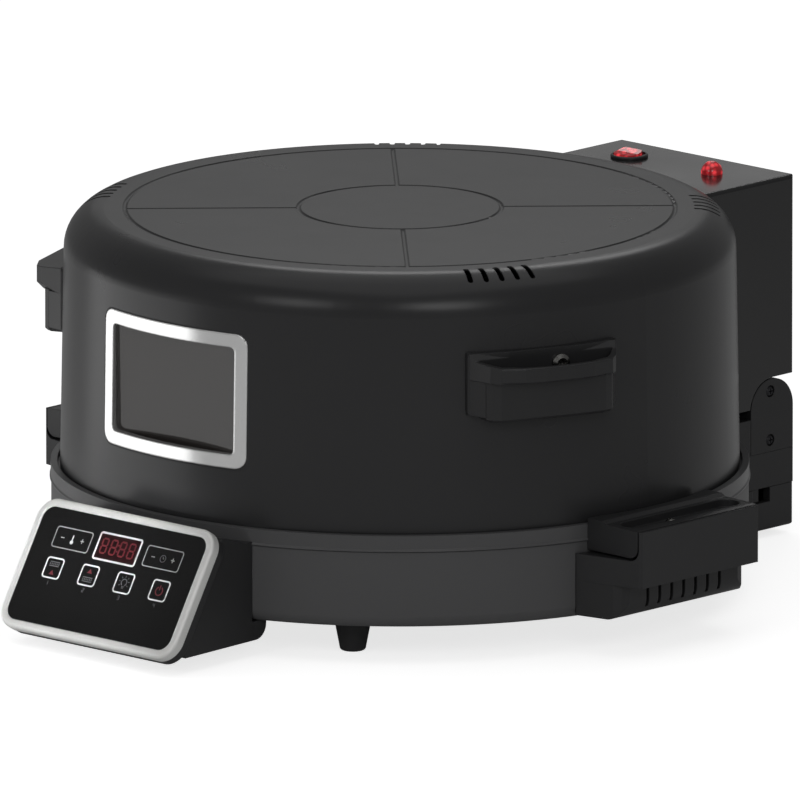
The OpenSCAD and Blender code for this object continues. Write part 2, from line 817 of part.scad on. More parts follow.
module lid_vents() {
    for (a = [-1, 1] * vent_front_angle, k = [0:vent_count - 1])
        rotate([0, 0, a - 90 + (k - (vent_count - 1) / 2) * vent_pitch])
            translate([0, 0, 203]) linear_extrude(20) slot_outline(vent_in, vent_out, vent_w);
    for (a = [-1, 1] * vent_rear_angle, k = [0:vent_count - 1])
        rotate([0, 0, a - 90 + (k - (vent_count - 1) / 2) * vent_pitch])
            translate([0, 0, 203]) linear_extrude(20) slot_outline(vent_in, vent_out, vent_w);
}

module lid_shell() {
    color(black_paint) difference() {
        lid_solid(0, lid_edge);
        lid_solid(lid_wall, lid_edge - 1);
        for (r = [groove_small_r, groove_big_r]) translate([0, 0, lid_top + groove_lift])
            rotate_extrude() translate([r, 0]) circle(groove_cut_r);
        for (a = [45:90:315]) rotate([0, 0, a]) translate([groove_small_r, 0, lid_top + groove_lift])
            rotate([0, 90, 0]) cylinder(r = groove_cut_r, h = groove_big_r - groove_small_r);
        lid_vents();
        window_prism(window_w + 2 * frame_gap, window_h + 2 * frame_gap, window_corner + frame_gap,
                     -reach, -100);
        // Opening into the switch box
        along_y(100, reach) translate([0, 150]) rounded_rect(92, 72, 8);
        for (s = [-1, 1], h = lid_handle_screw_places()) at_angle(s * lid_handle_angle)
            along_y(-reach, -100) translate([s * h[0], h[1]]) circle(2.1);
    }
}

module lid_reflector() {
    edge_z = 75;
    flange_r = lid_side_r(edge_z) - lid_wall;
    wall_top = dome_top - dome_round;
    color(steel) difference() {
        rotate_extrude() {
            difference() {
                union() {
                    translate([0, edge_z - sheet]) square([dome_r + sheet, wall_top - edge_z + sheet]);
                    translate([0, wall_top]) square([dome_r - dome_round, dome_round + sheet]);
                    intersection() {
                        translate([dome_r - dome_round, wall_top]) circle(dome_round + sheet);
                        translate([dome_r - dome_round, wall_top]) square(dome_round + sheet);
                    }
                }
                translate([-eps, edge_z - 5]) square([dome_r + eps, wall_top - edge_z + 5]);
                translate([-eps, wall_top]) square([dome_r - dome_round + eps, dome_round]);
                intersection() {
                    translate([dome_r - dome_round, wall_top]) circle(dome_round);
                    translate([dome_r - dome_round, wall_top]) square(dome_round);
                }
            }
            translate([dome_r + sheet - eps, edge_z - sheet])
                square([flange_r - dome_r - sheet + eps, sheet]);
        }
        window_prism(pane_w + 6.2, pane_h + 6.2, 6.6, -reach, -100);
        along_y(100, reach) translate([0, 150]) circle(16.2);
        for (s = [-1, 1]) rotate([0, 0, 90 + s * element_gap])
            translate([upper_loop_r, 0, 190]) cylinder(r = 5, h = 20);
        along_y(100, reach) translate([40, 165]) circle(3.3);
    }
}

module upper_element() {
    color(steel) heater_loop(upper_loop_r, upper_loop_z, 1, 22);
}

module upper_element_clips() {
    color(steel) heater_clips(upper_loop_r, upper_loop_z, dome_top);
}

// Sensor tube through the back of the dome
module upper_thermostat() {
    color(steel) {
        translate([40, 150, 165]) rotate([-90, 0, 0]) cylinder(r = 3, h = 40);
        translate([40, 173.4, 165]) rotate([-90, 0, 0]) cylinder(r = 6, h = 1.6);
    }
}

module window_frame() {
    color(silver) difference() {
        intersection() {
            window_prism(window_w, window_h, window_corner, -reach, -100);
            lid_band(-frame_proud, frame_depth);
        }
        window_prism(window_w - 2 * window_band, window_h - 2 * window_band, window_inner_corner,
                     -reach, -100);
        // Pocket that the flat pane sits in
        window_prism(pane_w + 0.1, pane_h + 0.1, 3.3, pane_y, -100);
    }
}

// Rubber seat round and behind the frame, with a sleeve into the dome and a groove for each pane
module window_seal() {
    color(rubber) difference() {
        union() {
            intersection() {
                window_prism(window_w + 2 * frame_gap - 0.1, window_h + 2 * frame_gap - 0.1,
                             window_corner + frame_gap, -reach, -100);
                lid_band(0.2, frame_depth + 1.5);
            }
            intersection() {
                window_prism(window_w + 7, window_h + 7, window_corner + 3.5, -reach, -100);
                lid_band(lid_wall + 0.1, frame_depth + 1.5);
            }
            intersection() {
                window_prism(pane_w + 6, pane_h + 6, 6.5, -reach, inner_pane_y + inner_pane_t + 1);
                lid_band(frame_depth + 0.1, 60);
            }
        }
        // Bed of the frame
        intersection() {
            window_prism(window_w + 0.1, window_h + 0.1, window_corner, -reach, -100);
            lid_band(-2, frame_depth + 0.05);
        }
        window_prism(pane_w - 4, pane_h - 4, window_inner_corner, -reach, -100);
        window_prism(pane_w + 0.1, pane_h + 0.1, 3.3, -reach, pane_y + pane_t);
        window_prism(pane_w + 0.1, pane_h + 0.1, 3.3, inner_pane_y, inner_pane_y + inner_pane_t);
    }
}

module window_glass() {
    color(glass) window_prism(pane_w, pane_h, 3.2, pane_y, pane_y + pane_t);
}

module window_inner_glass() {
    color(glass) window_prism(pane_w, pane_h, 3.2, inner_pane_y, inner_pane_y + inner_pane_t);
}

module lamp_holder() {
    color([0.88, 0.87, 0.84]) translate([0, 0, 150]) rotate([-90, 0, 0]) {
        rotate_extrude() difference() {
            union() {
                translate([0, 173.5]) square([15.8, 14]);
                translate([0, 187.5]) square([12, 18]);
                translate([0, dome_r + 1.2]) square([20, 2]);
            }
            translate([-eps, 170]) square([11 + eps, 12]);
        }
    }
}

module lamp_bulb() {
    color([0.95, 0.95, 0.9]) translate([0, 0, 150]) rotate([-90, 0, 0]) {
        translate([0, 0, 167]) cylinder(r = 5.5, h = 10);
        translate([0, 0, 167]) sphere(5.5);
        translate([0, 0, 176.5]) cylinder(r = 3.5, h = 5.5);
    }
}

// Glass cap over the bulb
module lamp_glass() {
    color(glass) translate([0, 0, 150]) rotate([-90, 0, 0]) rotate_extrude() difference() {
        union() {
            translate([0, 164]) square([15, 9.4]);
            intersection() {
                translate([0, 164]) circle(15);
                translate([0, 149]) square([15, 15]);
            }
        }
        translate([-eps, 164]) square([13 + eps, 20]);
        intersection() {
            translate([0, 164]) circle(13);
            translate([-eps, 150]) square([13 + eps, 14 + eps]);
        }
    }
}

// Across and up, from the middle of the handle: one screw high and one low
function lid_handle_screw_places() = [[9, 166], [-11, 150]];

// Half outlines of the lid handle seen from above: across, and out from the lid's axis
function mirrored(half) = concat(half, [for (k = [len(half) - 1:-1:0]) [-half[k][0], half[k][1]]]);

module handle_outline(half) {
    mirror([0, 1]) polygon(mirrored(half));
}

module lip_outline(inset) {
    handle_outline([[lid_handle_half, 170], [45.3, 185.4], [38.4 - inset, 200.5 - inset],
                    [34.4 - inset, 205.3 - inset], [21 - inset, 209.6 - inset], [8, 211.2 - inset]]);
}

module block_outline(inset) {
    handle_outline([[38.8 - inset, 170], [38.8 - inset, 196.4 - inset], [36.5 - inset, 199.4 - inset],
                    [32 - inset, 201.2 - inset], [8, 202 - inset]]);
}

// Plate that follows the lid, the flanks that run out from it, and the lower block
module handle_body(top) {
    flank_low = handle_low + 2.5;
    intersection() {
        along_y(-191.8, -170) translate([0, (top + flank_low) / 2])
            rounded_rect(2 * lid_handle_half, top - flank_low, 2.5);
        disc(191.8, flank_low - 1, top + 1);
    }
    translate([0, 0, flank_low]) linear_extrude(lip_low - flank_low + 1)
        handle_outline([[lid_handle_half, 170], [45.3, 185.4], [39.4, 196]]);
    hull() {
        translate([0, 0, handle_low]) linear_extrude(0.1) block_outline(1.2);
        translate([0, 0, handle_low + 1.5]) linear_extrude(lip_low - handle_low) block_outline(0);
    }
}

// Handle with a finger pocket behind its lip
module open_lid_handle() {
    color(black_plastic) difference() {
        union() {
            handle_body(handle_top);
            hull() {
                translate([0, 0, lip_low]) linear_extrude(0.1) lip_outline(0.8);
                translate([0, 0, lip_low + 1]) linear_extrude(lip_top - lip_low - 1.6) lip_outline(0);
                translate([0, 0, lip_top - 0.1]) linear_extrude(0.1) lip_outline(0.5);
            }
            // Cheeks that slope from the plate down to the lip
            intersection() {
                translate([0, 0, lip_low]) linear_extrude(handle_top - lip_low)
                    handle_outline([[lid_handle_half, 170], [45.3, 185.4], [38.4, 200.5], [34.4, 205.3]]);
                along_x(-60, 60) polygon([[-170, 150], [-170, handle_top], [-187.6, handle_top],
                                          [-191, 171.2], [-206, lip_top], [-206, 150]]);
            }
        }
        // Finger pocket, open at the top
        translate([0, 0, handle_low + 3.5]) linear_extrude(40)
            handle_outline([[36, handle_back], [34, 196], [20, 198], [8, 198.8]]);
        translate([0, 0, 163]) linear_extrude(40)
            handle_outline([[41, handle_back], [35.2, 199.6], [32.4, 202.6], [20, 206.2], [8, 207.8]]);
        lid_solid(-0.02, 60);
        for (h = lid_handle_screw_places())
            along_y(-handle_back - 0.1, -100) translate(h) circle(2);
    }
}

// Handle with a closed top that falls a little towards its lip
module closed_lid_handle() {
    top = 176.2;
    color(black_plastic) difference() {
        union() {
            handle_body(top);
            intersection() {
                hull() {
                    translate([0, 0, lip_low]) linear_extrude(0.1) lip_outline(3);
                    translate([0, 0, lip_low + 4.3]) linear_extrude(20) lip_outline(0);
                }
                along_x(-60, 60) polygon([[-170, 150], [-170, top], [-184, top - 0.2], [-209.6, 173.4],
                                          [-212, 172], [-212, 150]]);
            }
        }
        lid_solid(-0.02, 60);
        for (h = lid_handle_screw_places())
            along_y(-197, -100) translate([-h[0], h[1]]) circle(2);
    }
}

// The open handle is screwed on from its pocket, the closed one from inside the lid
module lid_handle_screws() {
    color(steel) {
        for (h = lid_handle_screw_places()) at_angle(lid_handle_angle)
            translate([h[0], -handle_back, h[1]]) rotate([90, 0, 0]) screw(h[1] > 160 ? 5.2 : 4.2, 1.9, 6);
        for (h = lid_handle_screw_places()) at_angle(-lid_handle_angle)
            translate([-h[0], 0.8 + lid_wall - lid_side_r(h[1]), h[1]]) rotate([-90, 0, 0])
                screw(4.2, 1.9, 9);
    }
}

// Side outline of the switch box in Y and Z: its skirt drops in front of the hinge cheeks
module box_side(inset) {
    difference() {
        translate([140, 75.8 + inset]) square([box_back - 140 - inset, box_top - 75.8 - 2 * inset]);
        translate([hinge_y, hinge_z]) circle(box_bottom - hinge_z + inset);
        translate([hinge_y, 50]) square([60, box_bottom - 50 + inset]);
        translate([hinge_y - 3, 50]) square([60, box_bottom - 50 + inset - 0.3]);
    }
}

// Runs its children at the four screws of the plate on the switch box
module at_box_screws() {
    for (x = [-1, 1], z = [-1, 1])
        translate([x * (box_cover_w / 2 - 2.4), box_cover_z + z * (box_cover_h / 2 - 2.4)]) children();
}

module rear_box() {
    color(black_paint) difference() {
        intersection() {
            along_x(-box_w / 2, box_w / 2) box_side(0);
            translate([0, 0, 60]) linear_extrude(160) translate([0, box_back - 60])
                rounded_rect(box_w, 120, box_corner);
            along_y(100, reach) translate([0, box_top - 100]) rounded_rect(box_w, 200, box_corner);
        }
        intersection() {
            along_x(-box_w / 2 + box_wall, box_w / 2 - box_wall) box_side(box_wall);
            translate([0, 0, 60]) linear_extrude(160) translate([0, box_back - box_wall - 60])
                rounded_rect(box_w - 2 * box_wall, 120, box_corner - box_wall);
        }
        lid_solid(-0.02, 60);
        // Rear opening for the cover, and its rebate
        along_y(230, reach) translate([0, box_cover_z]) rounded_rect(box_cover_w - 8, box_cover_h - 8, 4);
        along_y(box_back - box_cover_t - 0.05, reach) translate([0, box_cover_z])
            rounded_rect(box_cover_w + 0.4, box_cover_h + 0.4, 5);
        along_y(230, reach) at_box_screws() circle(1.2);
        // Slot for the hinge leaf
        translate([-50.3, hinge_y - 14.2, 80]) cube([100.6, 19, 20]);
        // Openings for the rocker switch and the pilot lamp
        translate([rocker_x, box_fit_y, 190]) cylinder(r = 9.9, h = 30);
        translate([lamp_x, box_fit_y, 190]) cylinder(r = 5, h = 30);
    }
}

module rear_box_cover() {
    color(black_paint) difference() {
        along_y(box_back - box_cover_t, box_back) translate([0, box_cover_z])
            rounded_rect(box_cover_w, box_cover_h, 4.8);
        for (row = [-3:3], col = [-1, 1]) along_y(240, reach) translate([col * 24, box_cover_z + row * 9])
            slot_outline(-17, 17, 3);
        along_y(230, reach) at_box_screws() circle(1.4);
    }
}

module rear_box_screws() {
    color(steel) translate([0, box_back, 0]) rotate([90, 0, 0]) at_box_screws()
        rotate([180, 0, 0]) screw(2.2, 1.15, 5);
}

// Barrel round the hinge pin, with the web that carries the lid
module hinge_leaf() {
    color(black_plastic) difference() {
        union() {
            bar_x(hinge_y, hinge_z, leaf_r, -leaf_half, leaf_half);
            translate([-50, hinge_y - 14, hinge_z]) cube([100, 18.6, 20.8]);
            translate([-54, hinge_y - 18, box_bottom + box_wall]) cube([108, 30, 3.4]);
        }
        bar_x(hinge_y, hinge_z, bush_r, -reach, reach);
        bar_x(hinge_y, hinge_z, leaf_r - 3, -45, 45);
    }
}

module hinge_bushes() {
    color([0.72, 0.55, 0.3]) both_sides() difference() {
        bar_x(hinge_y, hinge_z, bush_r - 0.01, 45.5, leaf_half);
        bar_x(hinge_y, hinge_z, pin_r + pin_clearance, 40, 60);
    }
}

module terminal_block() {
    color([0.9, 0.89, 0.85]) difference() {
        translate([-30, 212, box_bottom + box_wall + 3.4]) cube([60, 18, 18]);
        for (k = [-2:2]) translate([k * 11.5, 221, 105]) cylinder(r = 2.6, h = 20);
    }
}

// Round switch body, with the opening that its rocker tips in
module rocker_switch() {
    color(rubber) translate([rocker_x, box_fit_y, 0]) difference() {
        union() {
            disc(9.8, 188, box_top + 0.5);
            disc(10.6, box_top, box_top + 1.2);
            translate([0, 0, box_top + 1.2]) cylinder(r1 = 10.6, r2 = 10, h = 0.6);
            for (y = [-4, 4]) translate([-2.4, y - 0.4, 179]) cube([4.8, 0.8, 10]);
        }
        intersection() {
            disc(9.3, 192, box_top + 5);
            translate([-8, -10, 192]) cube([16, 20, 30]);
        }
        bar_x(0, rocker_pivot_z, 0.82, -8.9, 8.9);
    }
}

module rocker_pin() {
    color(steel) bar_x(box_fit_y, rocker_pivot_z, 0.8, rocker_x - 8.7, rocker_x + 8.7);
}

// Rocker in the off place, with its rear edge up
module rocker_button() {
    color(red) translate([rocker_x, box_fit_y, rocker_pivot_z]) rotate([rocker_rest, 0, 0]) difference() {
        intersection() {
            translate([-7.6, -9, -3]) cube([15.2, 18, 13]);
            translate([0, 0, -4]) cylinder(r = 8, h = 16);
            bar_x(0, 0, 9.4, -9, 9);
            along_x(-9, 9) polygon([[-9, -4], [9, -4], [9, 8.1], [0, 7.3], [-9, 8.1]]);
        }
        bar_x(0, 0, 0.87, -9, 9);
    }
}

// Pilot lamp with a domed lens on a narrow flange
module pilot_lamp() {
    lens_r = 6.1;
    flange = 1;
    color(red) translate([lamp_x, box_fit_y, 0]) {
        disc(4.9, 190, box_top + 0.3);
        rotate_extrude() {
            translate([0, box_top]) square([lens_r, flange]);
            intersection() {
                translate([0, box_top + flange]) circle(lens_r);
                translate([0, box_top + flange]) square(lens_r);
            }
        }
    }
}

// Puts a shape drawn about the drum's axis in its place in the whole object
module placed() {
    translate([0, axis_y, 0]) children();
}

placed() base_shell();
placed() trim_ring();
placed() bottom_plate();
placed() bottom_screws();
placed() foot(-foot_x, -foot_y);  // foot_front_left
placed() foot(foot_x, -foot_y);  // foot_front_right
placed() foot(-foot_x, foot_y);  // foot_rear_left
placed() foot(foot_x, foot_y);  // foot_rear_right
placed() reflector_pan();
placed() lower_element();
placed() lower_element_clips();
placed() baking_stone();
placed() lower_thermostat();
placed() rest_pads();
placed() mirror([1, 0, 0]) base_handle();  // base_handle_left
placed() base_handle();  // base_handle_right
placed() mirror([1, 0, 0]) base_grip();  // base_grip_left
placed() base_grip();  // base_grip_right
placed() grip_screws();
placed() control_housing();
placed() control_bezel();
placed() control_panel();
placed() display_window();
placed() display_digits();
placed() display_module();
placed() control_board();
placed() rear_housing();
placed() rear_tray();
placed() mirror([1, 0, 0]) hinge_cover();  // hinge_cover_left
placed() hinge_cover();  // hinge_cover_right
placed() hinge_cover_screws();
placed() hinge_pin();
placed() power_board();
placed() cord_gland();
placed() lid_shell();
placed() lid_reflector();
placed() upper_element();
placed() upper_element_clips();
placed() upper_thermostat();
placed() window_frame();
placed() window_seal();
placed() window_glass();
placed() window_inner_glass();
placed() lamp_holder();
placed() lamp_bulb();
placed() lamp_glass();
placed() at_angle(-lid_handle_angle) closed_lid_handle();  // lid_handle_left
placed() at_angle(lid_handle_angle) open_lid_handle();  // lid_handle_right
placed() lid_handle_screws();
placed() rear_box();
placed() rear_box_cover();
placed() rear_box_screws();
placed() hinge_leaf();
placed() hinge_bushes();
placed() terminal_block();
placed() rocker_switch();
placed() rocker_pin();
placed() rocker_button();
placed() pilot_lamp();
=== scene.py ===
# Electric pizza maker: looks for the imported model, in metres, in the model's own frame.
import json
import math

import bpy
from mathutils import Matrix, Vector


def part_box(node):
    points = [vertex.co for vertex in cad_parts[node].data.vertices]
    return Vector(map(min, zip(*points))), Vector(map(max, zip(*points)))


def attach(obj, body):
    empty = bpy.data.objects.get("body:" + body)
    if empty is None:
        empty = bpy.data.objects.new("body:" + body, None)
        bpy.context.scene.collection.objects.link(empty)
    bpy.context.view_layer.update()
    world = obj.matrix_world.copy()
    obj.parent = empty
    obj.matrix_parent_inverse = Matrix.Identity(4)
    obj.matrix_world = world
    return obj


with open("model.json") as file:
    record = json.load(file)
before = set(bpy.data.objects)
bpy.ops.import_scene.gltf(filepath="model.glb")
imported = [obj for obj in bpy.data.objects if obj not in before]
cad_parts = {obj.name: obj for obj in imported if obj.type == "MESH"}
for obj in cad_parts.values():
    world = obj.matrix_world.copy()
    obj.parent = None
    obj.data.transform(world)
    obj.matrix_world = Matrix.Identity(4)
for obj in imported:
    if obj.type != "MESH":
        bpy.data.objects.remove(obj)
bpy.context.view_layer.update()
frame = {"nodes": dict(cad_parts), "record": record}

nodes = frame["nodes"]
MM = 0.001

# Sizes of the real object in millimetres, the same as in the solid model
PANEL_TILT = math.radians(30.8)      # lean of the control panel from the upright
PANEL_Y = -237.1                     # middle of its bezel's face, from the lid's axis
PANEL_Z = 44.45                      # height of that middle
PANEL_RECESS = 0.6                   # the panel lies this deep in its bezel

lid_low, lid_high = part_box("lid_shell")
AXIS_Y = (lid_low.y + lid_high.y) / 2 / MM


def linear(code):
    """An sRGB hex colour as linear RGBA."""
    out = []
    for k in (0, 2, 4):
        v = int(code[k:k + 2], 16) / 255
        out.append(v / 12.92 if v <= 0.04045 else ((v + 0.055) / 1.055) ** 2.4)
    return (*out, 1.0)


def add(tree, kind, settings=None, **links):
    """A node with its settings. Each link names a socket, or is i and the socket's number, and gives it a
    value or another node's output."""
    n = tree.nodes.new(kind)
    for key, value in (settings or {}).items():
        setattr(n, key, value)
    for key, value in links.items():
        by_number = key[0] == "i" and key[1:].isdigit()
        socket = n.inputs[int(key[1:]) if by_number else key.replace("_", " ")]
        if isinstance(value, bpy.types.NodeSocket):
            tree.links.new(value, socket)
        else:
            socket.default_value = value
    return n


def new_material(name):
    """An empty node material, with its tree and the place on its surface in the object's own metres."""
    mat = bpy.data.materials.new(name)
    mat.use_nodes = True
    tree = mat.node_tree
    tree.nodes.clear()
    place = add(tree, "ShaderNodeTexCoord")
    return mat, tree, place.outputs["Object"]


# Finishes of the painted and moulded pieces

def stove_paint(coat, dark, light, smooth, dull, ior, peel_strength):
    """Heat-proof black stove paint, sprayed and baked on pressed steel: an even charcoal, with a sheen that
    each coat sets, a faint orange peel in its highlights and softly rounded edges where it builds up."""
    mat, tree, place = new_material(f"baked_{coat}_stove_paint")
    # Real peel is 0.8 mm, drawn coarser so that it shows
    peel = add(tree, "ShaderNodeTexNoise", Vector=place, Scale=1 / (1.6 * MM), Detail=2)
    drift = add(tree, "ShaderNodeTexNoise", Vector=place, Scale=1 / (70 * MM), Detail=3)
    tone = add(tree, "ShaderNodeMix", {"data_type": "RGBA"}, i0=drift.outputs["Fac"],
               i6=linear(dark), i7=linear(light))
    rough = add(tree, "ShaderNodeMapRange", Value=drift.outputs["Fac"], From_Min=0.3, From_Max=0.7,
                To_Min=smooth, To_Max=dull)
    edge = add(tree, "ShaderNodeBevel", {"samples": 4}, Radius=0.7 * MM)
    bump = add(tree, "ShaderNodeBump", Strength=peel_strength, Distance=0.1 * MM, Height=peel.outputs["Fac"],
               Normal=edge.outputs["Normal"])
    skin = add(tree, "ShaderNodeBsdfPrincipled", Base_Color=tone.outputs[2],
               Roughness=rough.outputs["Result"], IOR=ior, Normal=bump.outputs["Normal"])
    add(tree, "ShaderNodeOutputMaterial", Surface=skin.outputs["BSDF"])
    return mat


def moulded_nylon():
    """Glass-filled black nylon from a spark-eroded mould: near-black, with a fine matt grain and small
    rounded edges that catch a thin line of light."""
    mat, tree, place = new_material("moulded_black_nylon")
    # Real grain is 0.1 mm, drawn coarser so that it shows
    grain = add(tree, "ShaderNodeTexNoise", Vector=place, Scale=1 / (0.7 * MM), Detail=1)
    flow = add(tree, "ShaderNodeTexNoise", Vector=place, Scale=1 / (35 * MM), Detail=3)
    tone = add(tree, "ShaderNodeMix", {"data_type": "RGBA"}, i0=flow.outputs["Fac"],
               i6=linear("2d2d2e"), i7=linear("333334"))
    rough = add(tree, "ShaderNodeMapRange", Value=flow.outputs["Fac"], From_Min=0.3, From_Max=0.7,
                To_Min=0.3, To_Max=0.36)
    edge = add(tree, "ShaderNodeBevel", {"samples": 4}, Radius=0.8 * MM)
    bump = add(tree, "ShaderNodeBump", Strength=0.1, Distance=0.05 * MM, Height=grain.outputs["Fac"],
               Normal=edge.outputs["Normal"])
    skin = add(tree, "ShaderNodeBsdfPrincipled", Base_Color=tone.outputs[2],
               Roughness=rough.outputs["Result"], IOR=1.42, Normal=bump.outputs["Normal"])
    add(tree, "ShaderNodeOutputMaterial", Surface=skin.outputs["BSDF"])
    return mat


def silver_lacquer():
    """Silver lacquer sprayed on moulded plastic: a pale satin with a fine flake, white where it faces the
    lamps, and with well rounded edges."""
    mat, tree, place = new_material("sprayed_silver_lacquer")
    # Real flake is 0.03 mm, drawn coarser so that it shows
    flake = add(tree, "ShaderNodeTexNoise", Vector=place, Scale=1 / (0.6 * MM), Detail=2)
    drift = add(tree, "ShaderNodeTexNoise", Vector=place, Scale=1 / (12 * MM), Detail=3)
    tone = add(tree, "ShaderNodeMix", {"data_type": "RGBA"}, i0=flake.outputs["Fac"],
               i6=linear("f0f0ed"), i7=linear("fbfbf9"))
    rough = add(tree, "ShaderNodeMapRange", Value=drift.outputs["Fac"], From_Min=0.3, From_Max=0.7,
                To_Min=0.36, To_Max=0.42)
    edge = add(tree, "ShaderNodeBevel", {"samples": 4}, Radius=0.8 * MM)
    skin = add(tree, "ShaderNodeBsdfPrincipled", Base_Color=tone.outputs[2],
               Roughness=rough.outputs["Result"], Metallic=0.3, IOR=1.5, Normal=edge.outputs["Normal"])
    add(tree, "ShaderNodeOutputMaterial", Surface=skin.outputs["BSDF"])
    return mat


def polished_frame():
    """Silver-plated pressed steel of the window frame, polished: a white metal that mirrors the pale floor,
    with a grey turned-away side and a rounded bright rim."""
    mat, tree, place = new_material("polished_silver_plate")
    buff = add(tree, "ShaderNodeTexNoise", Vector=place, Scale=1 / (8 * MM), Detail=3)
    tone = add(tree, "ShaderNodeMix", {"data_type": "RGBA"}, i0=buff.outputs["Fac"],
               i6=linear("f4f4f4"), i7=linear("fcfcfb"))
    rough = add(tree, "ShaderNodeMapRange", Value=buff.outputs["Fac"], From_Min=0.3, From_Max=0.7,
                To_Min=0.16, To_Max=0.2)
    edge = add(tree, "ShaderNodeBevel", {"samples": 4}, Radius=1.4 * MM)
    skin = add(tree, "ShaderNodeBsdfPrincipled", Base_Color=tone.outputs[2],
               Roughness=rough.outputs["Result"], Metallic=0.8, Normal=edge.outputs["Normal"])
    add(tree, "ShaderNodeOutputMaterial", Surface=skin.outputs["BSDF"])
    return mat


def moulded_silicone():
    """Black silicone rubber, moulded: a soft, dull grey-black."""
    mat, tree, place = new_material("moulded_black_silicone")
    # Real pits are 0.05 mm, drawn coarser so that they show
    skin_pits = add(tree, "ShaderNodeTexNoise", Vector=place, Scale=1 / (0.6 * MM), Detail=2)
    bloom = add(tree, "ShaderNodeTexNoise", Vector=place, Scale=1 / (6 * MM), Detail=3)
    tone = add(tree, "ShaderNodeMix", {"data_type": "RGBA"}, i0=bloom.outputs["Fac"],
               i6=linear("38383a"), i7=linear("3f3f3f"))
    rough = add(tree, "ShaderNodeMapRange", Value=bloom.outputs["Fac"], From_Min=0.3, From_Max=0.7,
                To_Min=0.52, To_Max=0.66)
    edge = add(tree, "ShaderNodeBevel", {"samples": 4}, Radius=0.6 * MM)
    bump = add(tree, "ShaderNodeBump", Strength=0.1, Distance=0.05 * MM, Height=skin_pits.outputs["Fac"],
               Normal=edge.outputs["Normal"])
    skin = add(tree, "ShaderNodeBsdfPrincipled", Base_Color=tone.outputs[2],
               Roughness=rough.outputs["Result"], IOR=1.41, Normal=bump.outputs["Normal"])
    add(tree, "ShaderNodeOutputMaterial", Surface=skin.outputs["BSDF"])
    return mat


def white_nylon():
    """White moulded nylon of the terminal block and the display's carrier: milky and slightly waxy."""
    mat, tree, place = new_material("moulded_white_nylon")
    flow = add(tree, "ShaderNodeTexNoise", Vector=place, Scale=1 / (9 * MM), Detail=3)
    tone = add(tree, "ShaderNodeMix", {"data_type": "RGBA"}, i0=flow.outputs["Fac"],
               i6=linear("d6d3c8"), i7=linear("e4e2da"))
    rough = add(tree, "ShaderNodeMapRange", Value=flow.outputs["Fac"], From_Min=0.3, From_Max=0.7,
                To_Min=0.42, To_Max=0.55)
    edge = add(tree, "ShaderNodeBevel", {"samples": 4}, Radius=0.4 * MM)
    skin = add(tree, "ShaderNodeBsdfPrincipled", Base_Color=tone.outputs[2],
               Roughness=rough.outputs["Result"], IOR=1.53, Normal=edge.outputs["Normal"])
    add(tree, "ShaderNodeOutputMaterial", Surface=skin.outputs["BSDF"])
    return mat


# Finishes of the metal pieces

def zinc_sheet():
    """Hot-dip zinc on steel sheet: patches of crystal, each a slightly different grey."""
    mat, tree, place = new_material("hot_dipped_zinc_sheet")
    crystal = add(tree, "ShaderNodeTexVoronoi", Vector=place, Scale=1 / (7 * MM))
    tone = add(tree, "ShaderNodeMix", {"data_type": "RGBA"}, i0=crystal.outputs["Color"],
               i6=linear("a3a8ab"), i7=linear("bfc3c5"))
    rough = add(tree, "ShaderNodeMapRange", Value=crystal.outputs["Color"], To_Min=0.3, To_Max=0.48)
    skin = add(tree, "ShaderNodeBsdfPrincipled", Base_Color=tone.outputs[2],
               Roughness=rough.outputs["Result"], Metallic=1.0)
    add(tree, "ShaderNodeOutputMaterial", Surface=skin.outputs["BSDF"])
    return mat


def aluminised_sheet():
    """Aluminised steel sheet of the reflectors, pressed: soft silvery, with drawing streaks and a warm haze
    from the heat."""
    mat, tree, place = new_material("pressed_aluminised_sheet")
    haze = add(tree, "ShaderNodeTexNoise", Vector=place, Scale=1 / (45 * MM), Detail=4)
    # Real streaks are 0.2 mm wide, drawn coarser so that they show
    streak = add(tree, "ShaderNodeTexNoise", Vector=place, Scale=1 / (1.2 * MM), Detail=2)
    tone = add(tree, "ShaderNodeMix", {"data_type": "RGBA"}, i0=haze.outputs["Fac"],
               i6=linear("b9b4aa"), i7=linear("d0d0ce"))
    rough = add(tree, "ShaderNodeMapRange", Value=haze.outputs["Fac"], From_Min=0.3, From_Max=0.7,
                To_Min=0.36, To_Max=0.24)
    bump = add(tree, "ShaderNodeBump", Strength=0.06, Distance=0.05 * MM, Height=streak.outputs["Fac"])
    skin = add(tree, "ShaderNodeBsdfPrincipled", Base_Color=tone.outputs[2],
               Roughness=rough.outputs["Result"], Metallic=1.0, Normal=bump.outputs["Normal"])
    add(tree, "ShaderNodeOutputMaterial", Surface=skin.outputs["BSDF"])
    return mat


def heater_tube():
    """Incoloy sheath of a tubular heater, annealed: a dark straw and violet-brown oxide in bands."""
    mat, tree, place = new_material("annealed_incoloy_tube")
    oxide = add(tree, "ShaderNodeTexNoise", Vector=place, Scale=1 / (14 * MM), Detail=4)
    tone = add(tree, "ShaderNodeMix", {"data_type": "RGBA"}, i0=oxide.outputs["Fac"],
               i6=linear("3c3430"), i7=linear("766a60"))
    rough = add(tree, "ShaderNodeMapRange", Value=oxide.outputs["Fac"], From_Min=0.3, From_Max=0.7,
                To_Min=0.55, To_Max=0.38)
    skin = add(tree, "ShaderNodeBsdfPrincipled", Base_Color=tone.outputs[2],
               Roughness=rough.outputs["Result"], Metallic=0.9)
    add(tree, "ShaderNodeOutputMaterial", Surface=skin.outputs["BSDF"])
    return mat


